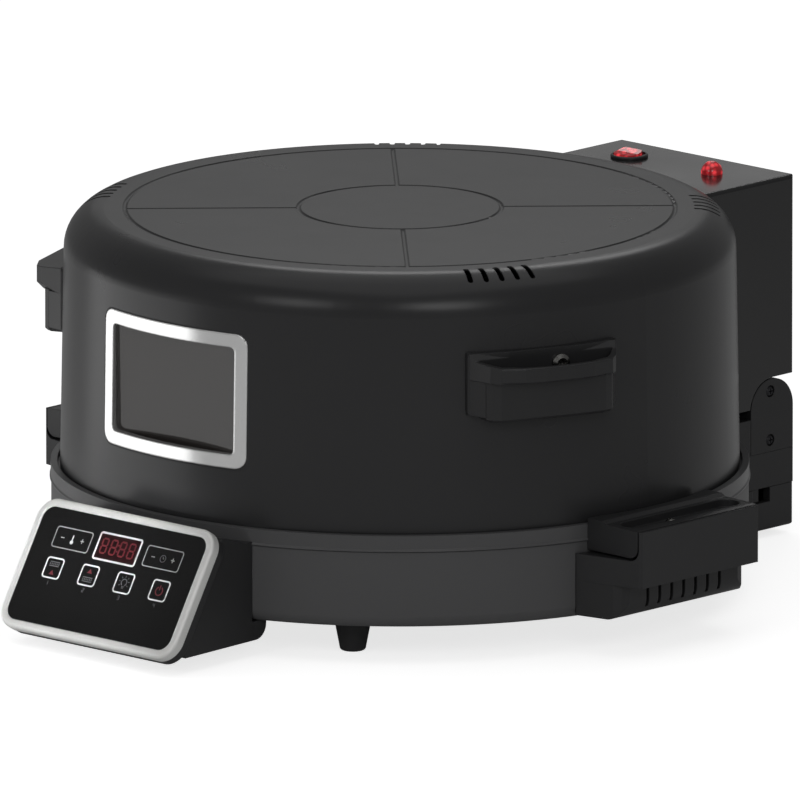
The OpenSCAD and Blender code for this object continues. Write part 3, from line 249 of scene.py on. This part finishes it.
def nickel_screws():
    """Nickel-plated screw steel, rolled and tumbled: a grey mirror with one narrow bright line."""
    mat, tree, place = new_material("tumbled_nickel_screw_steel")
    scuff = add(tree, "ShaderNodeTexNoise", Vector=place, Scale=1 / (1.5 * MM), Detail=3)
    tone = add(tree, "ShaderNodeMix", {"data_type": "RGBA"}, i0=scuff.outputs["Fac"],
               i6=linear("767573"), i7=linear("908f8c"))
    rough = add(tree, "ShaderNodeMapRange", Value=scuff.outputs["Fac"], From_Min=0.3, From_Max=0.7,
                To_Min=0.2, To_Max=0.3)
    edge = add(tree, "ShaderNodeBevel", {"samples": 4}, Radius=0.4 * MM)
    skin = add(tree, "ShaderNodeBsdfPrincipled", Base_Color=tone.outputs[2],
               Roughness=rough.outputs["Result"], Metallic=1.0, Normal=edge.outputs["Normal"])
    add(tree, "ShaderNodeOutputMaterial", Surface=skin.outputs["BSDF"])
    return mat


def black_oxide_screws():
    """Screw steel with a black oxide dip and oil: dark grey and a little greasy."""
    mat, tree, place = new_material("dipped_black_oxide_steel")
    oil = add(tree, "ShaderNodeTexNoise", Vector=place, Scale=1 / (1.2 * MM), Detail=3)
    tone = add(tree, "ShaderNodeMix", {"data_type": "RGBA"}, i0=oil.outputs["Fac"],
               i6=linear("2b2b2d"), i7=linear("424245"))
    rough = add(tree, "ShaderNodeMapRange", Value=oil.outputs["Fac"], From_Min=0.3, From_Max=0.7,
                To_Min=0.28, To_Max=0.42)
    edge = add(tree, "ShaderNodeBevel", {"samples": 4}, Radius=0.3 * MM)
    skin = add(tree, "ShaderNodeBsdfPrincipled", Base_Color=tone.outputs[2],
               Roughness=rough.outputs["Result"], Metallic=0.8, Normal=edge.outputs["Normal"])
    add(tree, "ShaderNodeOutputMaterial", Surface=skin.outputs["BSDF"])
    return mat


def turned_stainless():
    """Turned stainless steel of the pins and sensors: bright, with fine tool rings."""
    mat, tree, place = new_material("turned_stainless_steel")
    # Real rings are 0.1 mm apart, drawn coarser so that they show
    rings = add(tree, "ShaderNodeTexWave", {"bands_direction": "X"}, Vector=place, Scale=1 / (12 * MM),
                Distortion=0.4, Detail=2)
    tone = add(tree, "ShaderNodeMix", {"data_type": "RGBA"}, i0=rings.outputs["Fac"],
               i6=linear("b9babb"), i7=linear("cbccce"))
    rough = add(tree, "ShaderNodeMapRange", Value=rings.outputs["Fac"], To_Min=0.2, To_Max=0.3)
    skin = add(tree, "ShaderNodeBsdfPrincipled", Base_Color=tone.outputs[2],
               Roughness=rough.outputs["Result"], Metallic=1.0)
    add(tree, "ShaderNodeOutputMaterial", Surface=skin.outputs["BSDF"])
    return mat


def sintered_bronze():
    """Oil-filled sintered bronze: dull brown-gold with open pores."""
    mat, tree, place = new_material("sintered_oiled_bronze")
    # Real pores are 0.05 mm, drawn coarser so that they show
    pores = add(tree, "ShaderNodeTexVoronoi", Vector=place, Scale=1 / (0.5 * MM))
    tone = add(tree, "ShaderNodeMix", {"data_type": "RGBA"}, i0=pores.outputs["Distance"],
               i6=linear("8a6138"), i7=linear("b5884f"))
    rough = add(tree, "ShaderNodeMapRange", Value=pores.outputs["Distance"], To_Min=0.5, To_Max=0.36)
    skin = add(tree, "ShaderNodeBsdfPrincipled", Base_Color=tone.outputs[2],
               Roughness=rough.outputs["Result"], Metallic=1.0)
    add(tree, "ShaderNodeOutputMaterial", Surface=skin.outputs["BSDF"])
    return mat


# Finishes of the stone, ceramic and board

def cordierite():
    """Pressed and fired cordierite: warm cream, dry, with dark iron specks and a sandy surface."""
    mat, tree, place = new_material("fired_cordierite")
    speck = add(tree, "ShaderNodeTexVoronoi", Vector=place, Scale=1 / (4 * MM))
    sand = add(tree, "ShaderNodeTexNoise", Vector=place, Scale=1 / (0.9 * MM), Detail=4)
    cloud = add(tree, "ShaderNodeTexNoise", Vector=place, Scale=1 / (60 * MM), Detail=3)
    body = add(tree, "ShaderNodeMix", {"data_type": "RGBA"}, i0=cloud.outputs["Fac"],
               i6=linear("c4ae8c"), i7=linear("d8c6a6"))
    dot = add(tree, "ShaderNodeMapRange", Value=speck.outputs["Distance"], From_Min=0.06, From_Max=0.16,
              To_Min=1.0, To_Max=0.0)
    tone = add(tree, "ShaderNodeMix", {"data_type": "RGBA"}, i0=dot.outputs["Result"], i6=body.outputs[2],
               i7=linear("8a6f50"))
    rough = add(tree, "ShaderNodeMapRange", Value=sand.outputs["Fac"], From_Min=0.3, From_Max=0.7,
                To_Min=0.78, To_Max=0.95)
    bump = add(tree, "ShaderNodeBump", Strength=0.35, Distance=0.15 * MM, Height=sand.outputs["Fac"])
    skin = add(tree, "ShaderNodeBsdfPrincipled", Base_Color=tone.outputs[2],
               Roughness=rough.outputs["Result"], IOR=1.55, Normal=bump.outputs["Normal"])
    add(tree, "ShaderNodeOutputMaterial", Surface=skin.outputs["BSDF"])
    return mat


def steatite():
    """Unglazed steatite of the lamp holder, pressed and fired: chalky off-white."""
    mat, tree, place = new_material("fired_steatite")
    chalk = add(tree, "ShaderNodeTexNoise", Vector=place, Scale=1 / (3 * MM), Detail=4)
    tone = add(tree, "ShaderNodeMix", {"data_type": "RGBA"}, i0=chalk.outputs["Fac"],
               i6=linear("cfcbbd"), i7=linear("e2dfd3"))
    rough = add(tree, "ShaderNodeMapRange", Value=chalk.outputs["Fac"], From_Min=0.3, From_Max=0.7,
                To_Min=0.55, To_Max=0.7)
    skin = add(tree, "ShaderNodeBsdfPrincipled", Base_Color=tone.outputs[2],
               Roughness=rough.outputs["Result"], IOR=1.6)
    add(tree, "ShaderNodeOutputMaterial", Surface=skin.outputs["BSDF"])
    return mat


def circuit_board():
    """Glass-fibre board under green solder mask, etched: paler green where copper runs under it."""
    mat, tree, place = new_material("etched_glass_fibre_board")
    track = add(tree, "ShaderNodeTexBrick", {"offset": 0.5}, Vector=place, Scale=1 / (26 * MM),
                Color1=linear("1c5a34"), Color2=linear("226a3d"), Mortar=linear("123f25"), Mortar_Size=0.04)
    weave = add(tree, "ShaderNodeTexNoise", Vector=place, Scale=1 / (1.0 * MM), Detail=1)
    rough = add(tree, "ShaderNodeMapRange", Value=weave.outputs["Fac"], From_Min=0.3, From_Max=0.7,
                To_Min=0.25, To_Max=0.38)
    skin = add(tree, "ShaderNodeBsdfPrincipled", Base_Color=track.outputs["Color"],
               Roughness=rough.outputs["Result"], IOR=1.52)
    add(tree, "ShaderNodeOutputMaterial", Surface=skin.outputs["BSDF"])
    return mat


# Finishes of the panel, the lamps and the glass

def panel_acrylic():
    """Black-backed acrylic sheet, cast and polished: deep black with a clean gloss and a few dust marks."""
    mat, tree, place = new_material("polished_black_acrylic")
    dust = add(tree, "ShaderNodeTexNoise", Vector=place, Scale=1 / (22 * MM), Detail=4)
    tone = add(tree, "ShaderNodeMix", {"data_type": "RGBA"}, i0=dust.outputs["Fac"],
               i6=linear("101010"), i7=linear("151515"))
    rough = add(tree, "ShaderNodeMapRange", Value=dust.outputs["Fac"], From_Min=0.3, From_Max=0.7,
                To_Min=0.08, To_Max=0.14)
    skin = add(tree, "ShaderNodeBsdfPrincipled", Base_Color=tone.outputs[2],
               Roughness=rough.outputs["Result"], IOR=1.49)
    add(tree, "ShaderNodeOutputMaterial", Surface=skin.outputs["BSDF"])
    return mat


def display_filter():
    """Dark red filter acrylic, cast: a wine-dark pane, barely lit by the digits behind it."""
    mat, tree, place = new_material("cast_red_filter_acrylic")
    haze = add(tree, "ShaderNodeTexNoise", Vector=place, Scale=1 / (6 * MM), Detail=2)
    tone = add(tree, "ShaderNodeMix", {"data_type": "RGBA"}, i0=haze.outputs["Fac"],
               i6=linear("1c0709"), i7=linear("2a0c0f"))
    rough = add(tree, "ShaderNodeMapRange", Value=haze.outputs["Fac"], From_Min=0.3, From_Max=0.7,
                To_Min=0.1, To_Max=0.18)
    skin = add(tree, "ShaderNodeBsdfPrincipled", Base_Color=tone.outputs[2],
               Roughness=rough.outputs["Result"], IOR=1.49)
    add(tree, "ShaderNodeOutputMaterial", Surface=skin.outputs["BSDF"])
    return mat


def digit_segments():
    """Dimmed light-emitting segments under the filter: dull red with a slightly uneven glow."""
    mat, tree, place = new_material("dimmed_red_segments")
    spread = add(tree, "ShaderNodeTexNoise", Vector=place, Scale=1 / (1.5 * MM), Detail=1)
    glow = add(tree, "ShaderNodeMapRange", Value=spread.outputs["Fac"], From_Min=0.3, From_Max=0.7,
               To_Min=0.03, To_Max=0.06)
    skin = add(tree, "ShaderNodeBsdfPrincipled", Base_Color=linear("571b22"), Roughness=0.3, IOR=1.49,
               Emission_Color=linear("c83040"), Emission_Strength=glow.outputs["Result"])
    add(tree, "ShaderNodeOutputMaterial", Surface=skin.outputs["BSDF"])
    return mat


def window_pane():
    """Smoked tempered glass with a grey-brown tint baked in: a hazy warm grey pane, through which the dark
    oven just shows."""
    mat, tree, place = new_material("smoked_tempered_glass")
    roll = add(tree, "ShaderNodeTexNoise", Vector=place, Scale=1 / (40 * MM), Detail=1)
    rough = add(tree, "ShaderNodeMapRange", Value=roll.outputs["Fac"], From_Min=0.3, From_Max=0.7,
                To_Min=0.02, To_Max=0.05)
    tone = add(tree, "ShaderNodeMix", {"data_type": "RGBA"}, i0=roll.outputs["Fac"],
               i6=linear("4a4644"), i7=linear("4f4b49"))
    skin = add(tree, "ShaderNodeBsdfPrincipled", Base_Color=tone.outputs[2],
               Roughness=rough.outputs["Result"], IOR=1.45, Transmission_Weight=0.45)
    add(tree, "ShaderNodeOutputMaterial", Surface=skin.outputs["BSDF"])
    return mat


def clear_glass():
    """Clear heat-proof glass, pressed: nearly colourless, with a slight waviness."""
    mat, tree, place = new_material("pressed_clear_glass")
    wave = add(tree, "ShaderNodeTexNoise", Vector=place, Scale=1 / (18 * MM), Detail=1)
    rough = add(tree, "ShaderNodeMapRange", Value=wave.outputs["Fac"], From_Min=0.3, From_Max=0.7,
                To_Min=0.01, To_Max=0.03)
    bump = add(tree, "ShaderNodeBump", Strength=0.05, Distance=0.2 * MM, Height=wave.outputs["Fac"])
    skin = add(tree, "ShaderNodeBsdfPrincipled", Base_Color=linear("dfe6e2"),
               Roughness=rough.outputs["Result"], IOR=1.47, Transmission_Weight=1.0,
               Normal=bump.outputs["Normal"])
    add(tree, "ShaderNodeOutputMaterial", Surface=skin.outputs["BSDF"])
    return mat


def lit_red_polycarbonate():
    """Clear red polycarbonate with prism facets moulded inside, over a neon lamp: deep red between the
    facets, pink where they throw the light forward, and a bright gloss."""
    mat, tree, place = new_material("moulded_red_polycarbonate")
    prism = add(tree, "ShaderNodeTexVoronoi", Vector=place, Scale=1 / (3.2 * MM))
    facet = add(tree, "ShaderNodeMapRange", Value=prism.outputs["Distance"], From_Min=0.1, From_Max=0.6,
                To_Min=1.0, To_Max=0.0)
    tone = add(tree, "ShaderNodeMix", {"data_type": "RGBA"}, i0=facet.outputs["Result"],
               i6=linear("8e0a14"), i7=linear("e8323a"))
    glow = add(tree, "ShaderNodeMapRange", Value=facet.outputs["Result"], To_Min=0.12, To_Max=0.75)
    skin = add(tree, "ShaderNodeBsdfPrincipled", Base_Color=tone.outputs[2], Roughness=0.1, IOR=1.58,
               Transmission_Weight=0.2, Emission_Color=linear("f2444c"),
               Emission_Strength=glow.outputs["Result"])
    add(tree, "ShaderNodeOutputMaterial", Surface=skin.outputs["BSDF"])
    return mat


finishes = {
    "black_paint": stove_paint("satin", "303031", "353536", 0.27, 0.31, 1.4, 0.015),
    "black_plastic": moulded_nylon(),
    "zinc_sheet": zinc_sheet(),
    "steel_screws": nickel_screws(),
    "black_screws": black_oxide_screws(),
    "black_rubber": moulded_silicone(),
    "bright_sheet": aluminised_sheet(),
    "element_tube": heater_tube(),
    "fired_stone": cordierite(),
    "sensor_steel": turned_stainless(),
    "silver_trim": silver_lacquer(),
    "panel_film": panel_acrylic(),
    "display_filter": display_filter(),
    "lit_segments": digit_segments(),
    "white_plastic": white_nylon(),
    "circuit_board": circuit_board(),
    "clear_glass": clear_glass(),
    "white_ceramic": steatite(),
    "bronze": sintered_bronze(),
    "red_plastic": lit_red_polycarbonate(),
}

# Each piece takes the finish of its slot in the record, apart from these
finish_of = {s["node"]: finishes[s["material_slot"]] for s in frame["record"]["subparts"]}
box_paint = stove_paint("glossy", "1a1a1b", "1f1f20", 0.14, 0.18, 1.6, 0.01)
pane = window_pane()
finish_of.update(rear_box=box_paint, rear_box_cover=box_paint,
                 base_shell=stove_paint("dull", "565657", "5c5c5d", 0.42, 0.48, 1.45, 0.02),
                 # The trim ring has the lid's satin stove paint, painted lighter here: painted light that
                 # makes up for the shade the ring sits in under the lid.
                 trim_ring=stove_paint("ring", "565657", "5c5c5d", 0.3, 0.34, 1.4, 0.015),
                 window_frame=polished_frame(), window_glass=pane, window_inner_glass=pane)

for node, obj in nodes.items():
    if not obj.data.materials:
        obj.data.materials.append(finish_of[node])
    for k in range(len(obj.data.materials)):
        obj.data.materials[k] = finish_of[node]


# New pieces

def piece(name, verts, faces, mat, body):
    """A mesh object in metres, from points in millimetres, that rides on a CAD body."""
    mesh = bpy.data.meshes.new(name)
    mesh.from_pydata([Vector(v) * MM for v in verts], [], faces)
    mesh.update()
    mesh.materials.append(mat)
    obj = bpy.data.objects.new(name, mesh)
    bpy.context.scene.collection.objects.link(obj)
    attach(obj, body)


def panel_point(p, q, n):
    """A point of the control panel: p to the right, q up its slope, n out of its bezel's face, in mm."""
    s, c = math.sin(PANEL_TILT), math.cos(PANEL_TILT)
    return (p, PANEL_Y + AXIS_Y + q * s - n * c, PANEL_Z + q * c + n * s)


def arc(cx, cy, r, a0, a1, steps):
    """Points along an arc, both ends included."""
    return [(cx + r * math.cos(a0 + (a1 - a0) * k / steps), cy + r * math.sin(a0 + (a1 - a0) * k / steps))
            for k in range(steps + 1)]


def round_rect(cx, cy, w, h, r, steps=6):
    """The outline of a rectangle with rounded corners, anticlockwise."""
    quarter = math.pi / 2
    out = []
    for k, (sx, sy) in enumerate(((1, 1), (-1, 1), (-1, -1), (1, -1))):
        out += arc(cx + sx * (w / 2 - r), cy + sy * (h / 2 - r), r, k * quarter, (k + 1) * quarter, steps)
    return out


class Print:
    """Flat printed shapes on the control panel, all of one ink, joined into one thin piece."""
    THICK = 0.06        # real ink is 0.02 mm, drawn thicker so that it stands clear of the panel

    def __init__(self):
        self.verts, self.faces = [], []

    def fill(self, points):
        """A filled convex outline, given anticlockwise."""
        base, n = len(self.verts), len(points)
        top = -PANEL_RECESS + self.THICK
        for level in (-PANEL_RECESS, top):
            self.verts += [panel_point(p, q, level) for p, q in points]
        self.faces.append([base + n + k for k in range(n)])
        self.faces.append([base + k for k in reversed(range(n))])
        self.faces += [[base + k, base + (k + 1) % n, base + n + (k + 1) % n, base + n + k] for k in range(n)]

    def ring(self, outer, inner):
        """The band between two outlines with the same number of points."""
        base, n = len(self.verts), len(outer)
        top = -PANEL_RECESS + self.THICK
        for level in (-PANEL_RECESS, top):
            for loop in (outer, inner):
                self.verts += [panel_point(p, q, level) for p, q in loop]
        lo_out, lo_in, hi_out, hi_in = base, base + n, base + 2 * n, base + 3 * n
        for k in range(n):
            j = (k + 1) % n
            self.faces += [[hi_out + k, hi_out + j, hi_in + j, hi_in + k],
                           [lo_out + j, lo_out + k, lo_in + k, lo_in + j],
                           [lo_out + k, lo_out + j, hi_out + j, hi_out + k],
                           [lo_in + j, lo_in + k, hi_in + k, hi_in + j]]

    def frame(self, cx, cy, w, h, r, line):
        """A rounded rectangle drawn as a line."""
        inner = round_rect(cx, cy, w - 2 * line, h - 2 * line, max(r - line, 0.1))
        self.ring(round_rect(cx, cy, w, h, r), inner)

    def bar(self, x0, y0, x1, y1, line):
        """A straight stroke."""
        length = math.hypot(x1 - x0, y1 - y0)
        dx, dy = -(y1 - y0) / length * line / 2, (x1 - x0) / length * line / 2
        self.fill([(x0 - dx, y0 - dy), (x1 - dx, y1 - dy), (x1 + dx, y1 + dy), (x0 + dx, y0 + dy)])

    def bow(self, cx, cy, r, line, a0, a1, steps=16):
        """A stroke along an arc, in short pieces."""
        for k in range(steps):
            b0, b1 = a0 + (a1 - a0) * k / steps, a0 + (a1 - a0) * (k + 1) / steps
            self.fill([(cx + (r + line / 2) * math.cos(b0), cy + (r + line / 2) * math.sin(b0)),
                       (cx + (r + line / 2) * math.cos(b1), cy + (r + line / 2) * math.sin(b1)),
                       (cx + (r - line / 2) * math.cos(b1), cy + (r - line / 2) * math.sin(b1)),
                       (cx + (r - line / 2) * math.cos(b0), cy + (r - line / 2) * math.sin(b0))])

    def make(self, name, mat):
        """The finished piece, riding on the base."""
        piece(name, self.verts, self.faces, mat, "base")


def inks():
    """Baked screen inks on the acrylic, printed through a fine mesh: flat, a little chalky, and uneven at
    the scale of the mesh."""
    out = {}
    for name, dark, light in (("white", "d4d4d4", "ebebeb"), ("pale", "9a9a9a", "b4b4b4"),
                              ("grey", "505052", "66666a"), ("red", "4c101b", "641722")):
        mat, tree, place = new_material(f"baked_{name}_screen_ink")
        # Real mesh is 0.1 mm, drawn coarser so that it shows
        mesh = add(tree, "ShaderNodeTexNoise", Vector=place, Scale=1 / (0.8 * MM), Detail=2)
        tone = add(tree, "ShaderNodeMix", {"data_type": "RGBA"}, i0=mesh.outputs["Fac"],
                   i6=linear(dark), i7=linear(light))
        rough = add(tree, "ShaderNodeMapRange", Value=mesh.outputs["Fac"], From_Min=0.3, From_Max=0.7,
                    To_Min=0.35, To_Max=0.5)
        skin = add(tree, "ShaderNodeBsdfPrincipled", Base_Color=tone.outputs[2],
                   Roughness=rough.outputs["Result"], IOR=1.5)
        add(tree, "ShaderNodeOutputMaterial", Surface=skin.outputs["BSDF"])
        out[name] = mat
    return out


def panel_prints():
    """The key frames and their marks on the control panel, each ink its own piece."""
    ink = inks()
    top_row, key_row, number_row = 17.35, -0.8, -9.6
    side_x, key_xs = 34.8, (-40.8, -13.6, 13.6, 40.8)
    turn = 2 * math.pi

    # Frames of the display and of the four keys
    white = Print()
    white.frame(0, top_row, 32.6, 16.7, 1.9, 1.15)
    for x in key_xs:
        white.frame(x, key_row, 13.2, 12.6, 2.2, 0.9)
    # Thermometer between minus and plus on the left
    white.bow(-side_x, top_row - 1.7, 0.6, 1.2, 0, turn)
    white.bar(-side_x, top_row - 1.2, -side_x, top_row + 2.4, 0.8)
    white.make("panel_white_print", ink["white"])

    # Frames of the two setting keys, each with a minus and a plus
    pale = Print()
    for side in (-1, 1):
        x = side * side_x
        pale.frame(x, top_row, 27.8, 12.6, 1.9, 0.6)
        pale.bar(x - 8.8, top_row, x - 6.2, top_row, 0.5)
        pale.bar(x + 6.2, top_row, x + 8.8, top_row, 0.5)
        pale.bar(x + 7.5, top_row - 1.3, x + 7.5, top_row + 1.3, 0.5)
    pale.make("panel_pale_print", ink["pale"])

    grey = Print()
    # Timer on the right
    grey.bow(side_x, top_row, 2.0, 0.35, 0, turn, 24)
    grey.bar(side_x, top_row, side_x, top_row + 1.2, 0.5)
    grey.bar(side_x, top_row, side_x + 0.9, top_row, 0.5)
    # Heater marks on the first two keys: a row of short bars between two lines
    for x, up in ((key_xs[0], 1), (key_xs[1], -1)):
        y = key_row + up * 2.4
        for level in (-1.2, 1.2):
            grey.bar(x - 3.6, y + level, x + 3.6, y + level, 0.5)
        for k in range(6):
            grey.bar(x - 3.2 + k * 1.28, y - 0.6, x - 3.2 + k * 1.28, y + 0.6, 0.55)
    # Bulb with rays on the third key
    x, y = key_xs[2], key_row + 0.3
    grey.bow(x, y, 2.0, 0.5, math.radians(-60), math.radians(240))
    for level, half in ((-2.5, 0.9), (-3.3, 0.7)):
        grey.bar(x - half, y + level, x + half, y + level, 0.45)
    for a in range(-30, 211, 40):
        c, s = math.cos(math.radians(a)), math.sin(math.radians(a))
        grey.bar(x + 3.0 * c, y + 3.0 * s, x + 4.1 * c, y + 4.1 * s, 0.4)
    # Plain numbers under the keys
    strokes = {1: [(0, -1, 0, 1)],
               2: [(-1, 1, 1, 1), (1, 1, 1, 0), (1, 0, -1, 0), (-1, 0, -1, -1), (-1, -1, 1, -1)],
               3: [(-1, 1, 1, 1), (1, 1, 1, -1), (-0.6, 0, 1, 0), (-1, -1, 1, -1)],
               4: [(-1, 1, -1, 0), (-1, 0, 1, 0), (1, 1, 1, -1)]}
    for number, x in enumerate(key_xs, 1):
        for x0, y0, x1, y1 in strokes[number]:
            grey.bar(x + 0.6 * x0, number_row + 1.1 * y0, x + 0.6 * x1, number_row + 1.1 * y1, 0.3)
    grey.make("panel_grey_print", ink["grey"])

    # Arrowheads by the heater marks, and the on and off mark on the last key
    red = Print()
    for x, up in ((key_xs[0], -1), (key_xs[1], 1)):
        y = key_row + up * 2.6
        red.fill([(x - 1.8, y - 1.3), (x + 1.8, y - 1.3), (x, y + 1.4)])
    x = key_xs[3]
    red.bow(x, key_row - 0.3, 2.5, 0.8, math.radians(-240), math.radians(60))
    red.bar(x, key_row + 0.2, x, key_row + 3.2, 0.8)
    red.make("panel_red_print", ink["red"])


panel_prints()


# Floor, light and camera

FLOOR_REACH = 6.0             # from the middle of the paper to each edge
FLOOR_LIFT = 0.75             # extra white of the paper, for the camera alone
ROOM_GLOW = 0.165             # grey light from all round
VIEW_TURN = math.radians(43.45)
VIEW_UP = math.radians(12.71)
VIEW_WIDE = 447.0 * MM        # width of the picture at the object
VIEW_AIM = Vector((0, AXIS_Y, 106.6)) * MM
VIEW_FAR = 21.0               # from the camera to the point that it aims at


def floor():
    """A white paper sweep that keeps the object's shadow and looks as white as the paper behind it."""
    mat, tree, place = new_material("white_paper_sweep")
    fibre = add(tree, "ShaderNodeTexNoise", Vector=place, Scale=1 / (3 * MM), Detail=2)
    tone = add(tree, "ShaderNodeMix", {"data_type": "RGBA"}, i0=fibre.outputs["Fac"],
               i6=linear("e9e9e9"), i7=linear("f0f0f0"))
    paper = add(tree, "ShaderNodeBsdfDiffuse", Color=tone.outputs[2])
    path = add(tree, "ShaderNodeLightPath")
    lift = add(tree, "ShaderNodeEmission", Color=(1, 1, 1, 1), Strength=FLOOR_LIFT)
    lifted = add(tree, "ShaderNodeAddShader", i0=paper.outputs["BSDF"], i1=lift.outputs["Emission"])
    seen = add(tree, "ShaderNodeMixShader", i0=path.outputs["Is Camera Ray"], i1=paper.outputs["BSDF"],
               i2=lifted.outputs["Shader"])
    add(tree, "ShaderNodeOutputMaterial", Surface=seen.outputs["Shader"])
    mesh = bpy.data.meshes.new("floor")
    corners = ((-1, -1), (1, -1), (1, 1), (-1, 1))
    mesh.from_pydata([(x * FLOOR_REACH, y * FLOOR_REACH, 0) for x, y in corners], [], [[0, 1, 2, 3]])
    mesh.materials.append(mat)
    obj = bpy.data.objects.new("floor", mesh)
    bpy.context.scene.collection.objects.link(obj)


def room():
    """Soft grey light all round, and plain white where the camera or clear glass looks past the object."""
    world = bpy.data.worlds.new("studio")
    bpy.context.scene.world = world
    world.use_nodes = True
    tree = world.node_tree
    tree.nodes.clear()
    path = add(tree, "ShaderNodeLightPath")
    soft = add(tree, "ShaderNodeBackground", Color=(1, 1, 1, 1), Strength=ROOM_GLOW)
    white = add(tree, "ShaderNodeBackground", Color=(1, 1, 1, 1), Strength=1.0)
    seen = add(tree, "ShaderNodeMath", {"operation": "MAXIMUM"}, i0=path.outputs["Is Camera Ray"],
               i1=path.outputs["Is Transmission Ray"])
    mix = add(tree, "ShaderNodeMixShader", i0=seen.outputs["Value"], i1=soft.outputs[0], i2=white.outputs[0])
    add(tree, "ShaderNodeOutputWorld", Surface=mix.outputs[0])


def softbox(name, place, aim, width, height, watts, spread=180):
    """A soft rectangular light that the camera does not see itself; a grid narrows its spread, in degrees."""
    light = bpy.data.lights.new(name, "AREA")
    light.shape = "RECTANGLE"
    light.size, light.size_y = width, height
    light.energy = watts
    light.spread = math.radians(spread)
    obj = bpy.data.objects.new(name, light)
    obj.location = place
    obj.rotation_euler = (Vector(aim) - Vector(place)).to_track_quat("-Z", "Y").to_euler()
    obj.visible_camera = False
    bpy.context.scene.collection.objects.link(obj)


def camera():
    """A very long lens, so that parallel edges stay nearly parallel, as in the photograph."""
    lens = bpy.data.cameras.new("camera")
    lens.sensor_width = 36
    lens.lens = lens.sensor_width * VIEW_FAR / VIEW_WIDE
    lens.clip_start, lens.clip_end = 1, 100
    cam = bpy.data.objects.new("camera", lens)
    way = Vector((math.sin(VIEW_TURN) * math.cos(VIEW_UP), -math.cos(VIEW_TURN) * math.cos(VIEW_UP),
                  math.sin(VIEW_UP)))
    cam.location = VIEW_AIM + VIEW_FAR * way
    cam.rotation_euler = (-way).to_track_quat("-Z", "Y").to_euler()
    bpy.context.scene.collection.objects.link(cam)
    bpy.context.scene.camera = cam


floor()
room()
# Straight behind: the bright rim of the lid, and a card for the back of the box
softbox("back", (-1.02, 1.28, 1.3), (0, 0, 0.2), 0.8, 0.45, 2.3)
softbox("back_card", (-1.1, 1.16, 0.526), (0, 0.22, 0.2), 0.8, 0.12, 0.11)
# Soft key lights from both sides of the camera, and a wide one above
softbox("front_left", (0.24, -1.63, 0.83), (0, 0, 0.1), 0.6, 0.5, 2.0)
softbox("front_right", (1.39, -0.88, 0.83), (0, 0, 0.1), 0.6, 0.5, 2.6)
softbox("over", (0, 0, 2.0), (0, 0, 0.1), 2.4, 2.4, 8.5)
# A low card that the window frame and the drum mirror, and a narrow strip for the panel's bezel
softbox("left_card", (-0.355, -0.353, 0.08), (0.371, 0.335, 0.08), 0.465, 0.16, 0.27)
softbox("panel_strip", (0.14, -0.83, 0.09), (-0.012, -0.237, 0.05), 0.1, 0.055, 0.025, 9)
camera()
bpy.context.scene.view_settings.view_transform = "Standard"
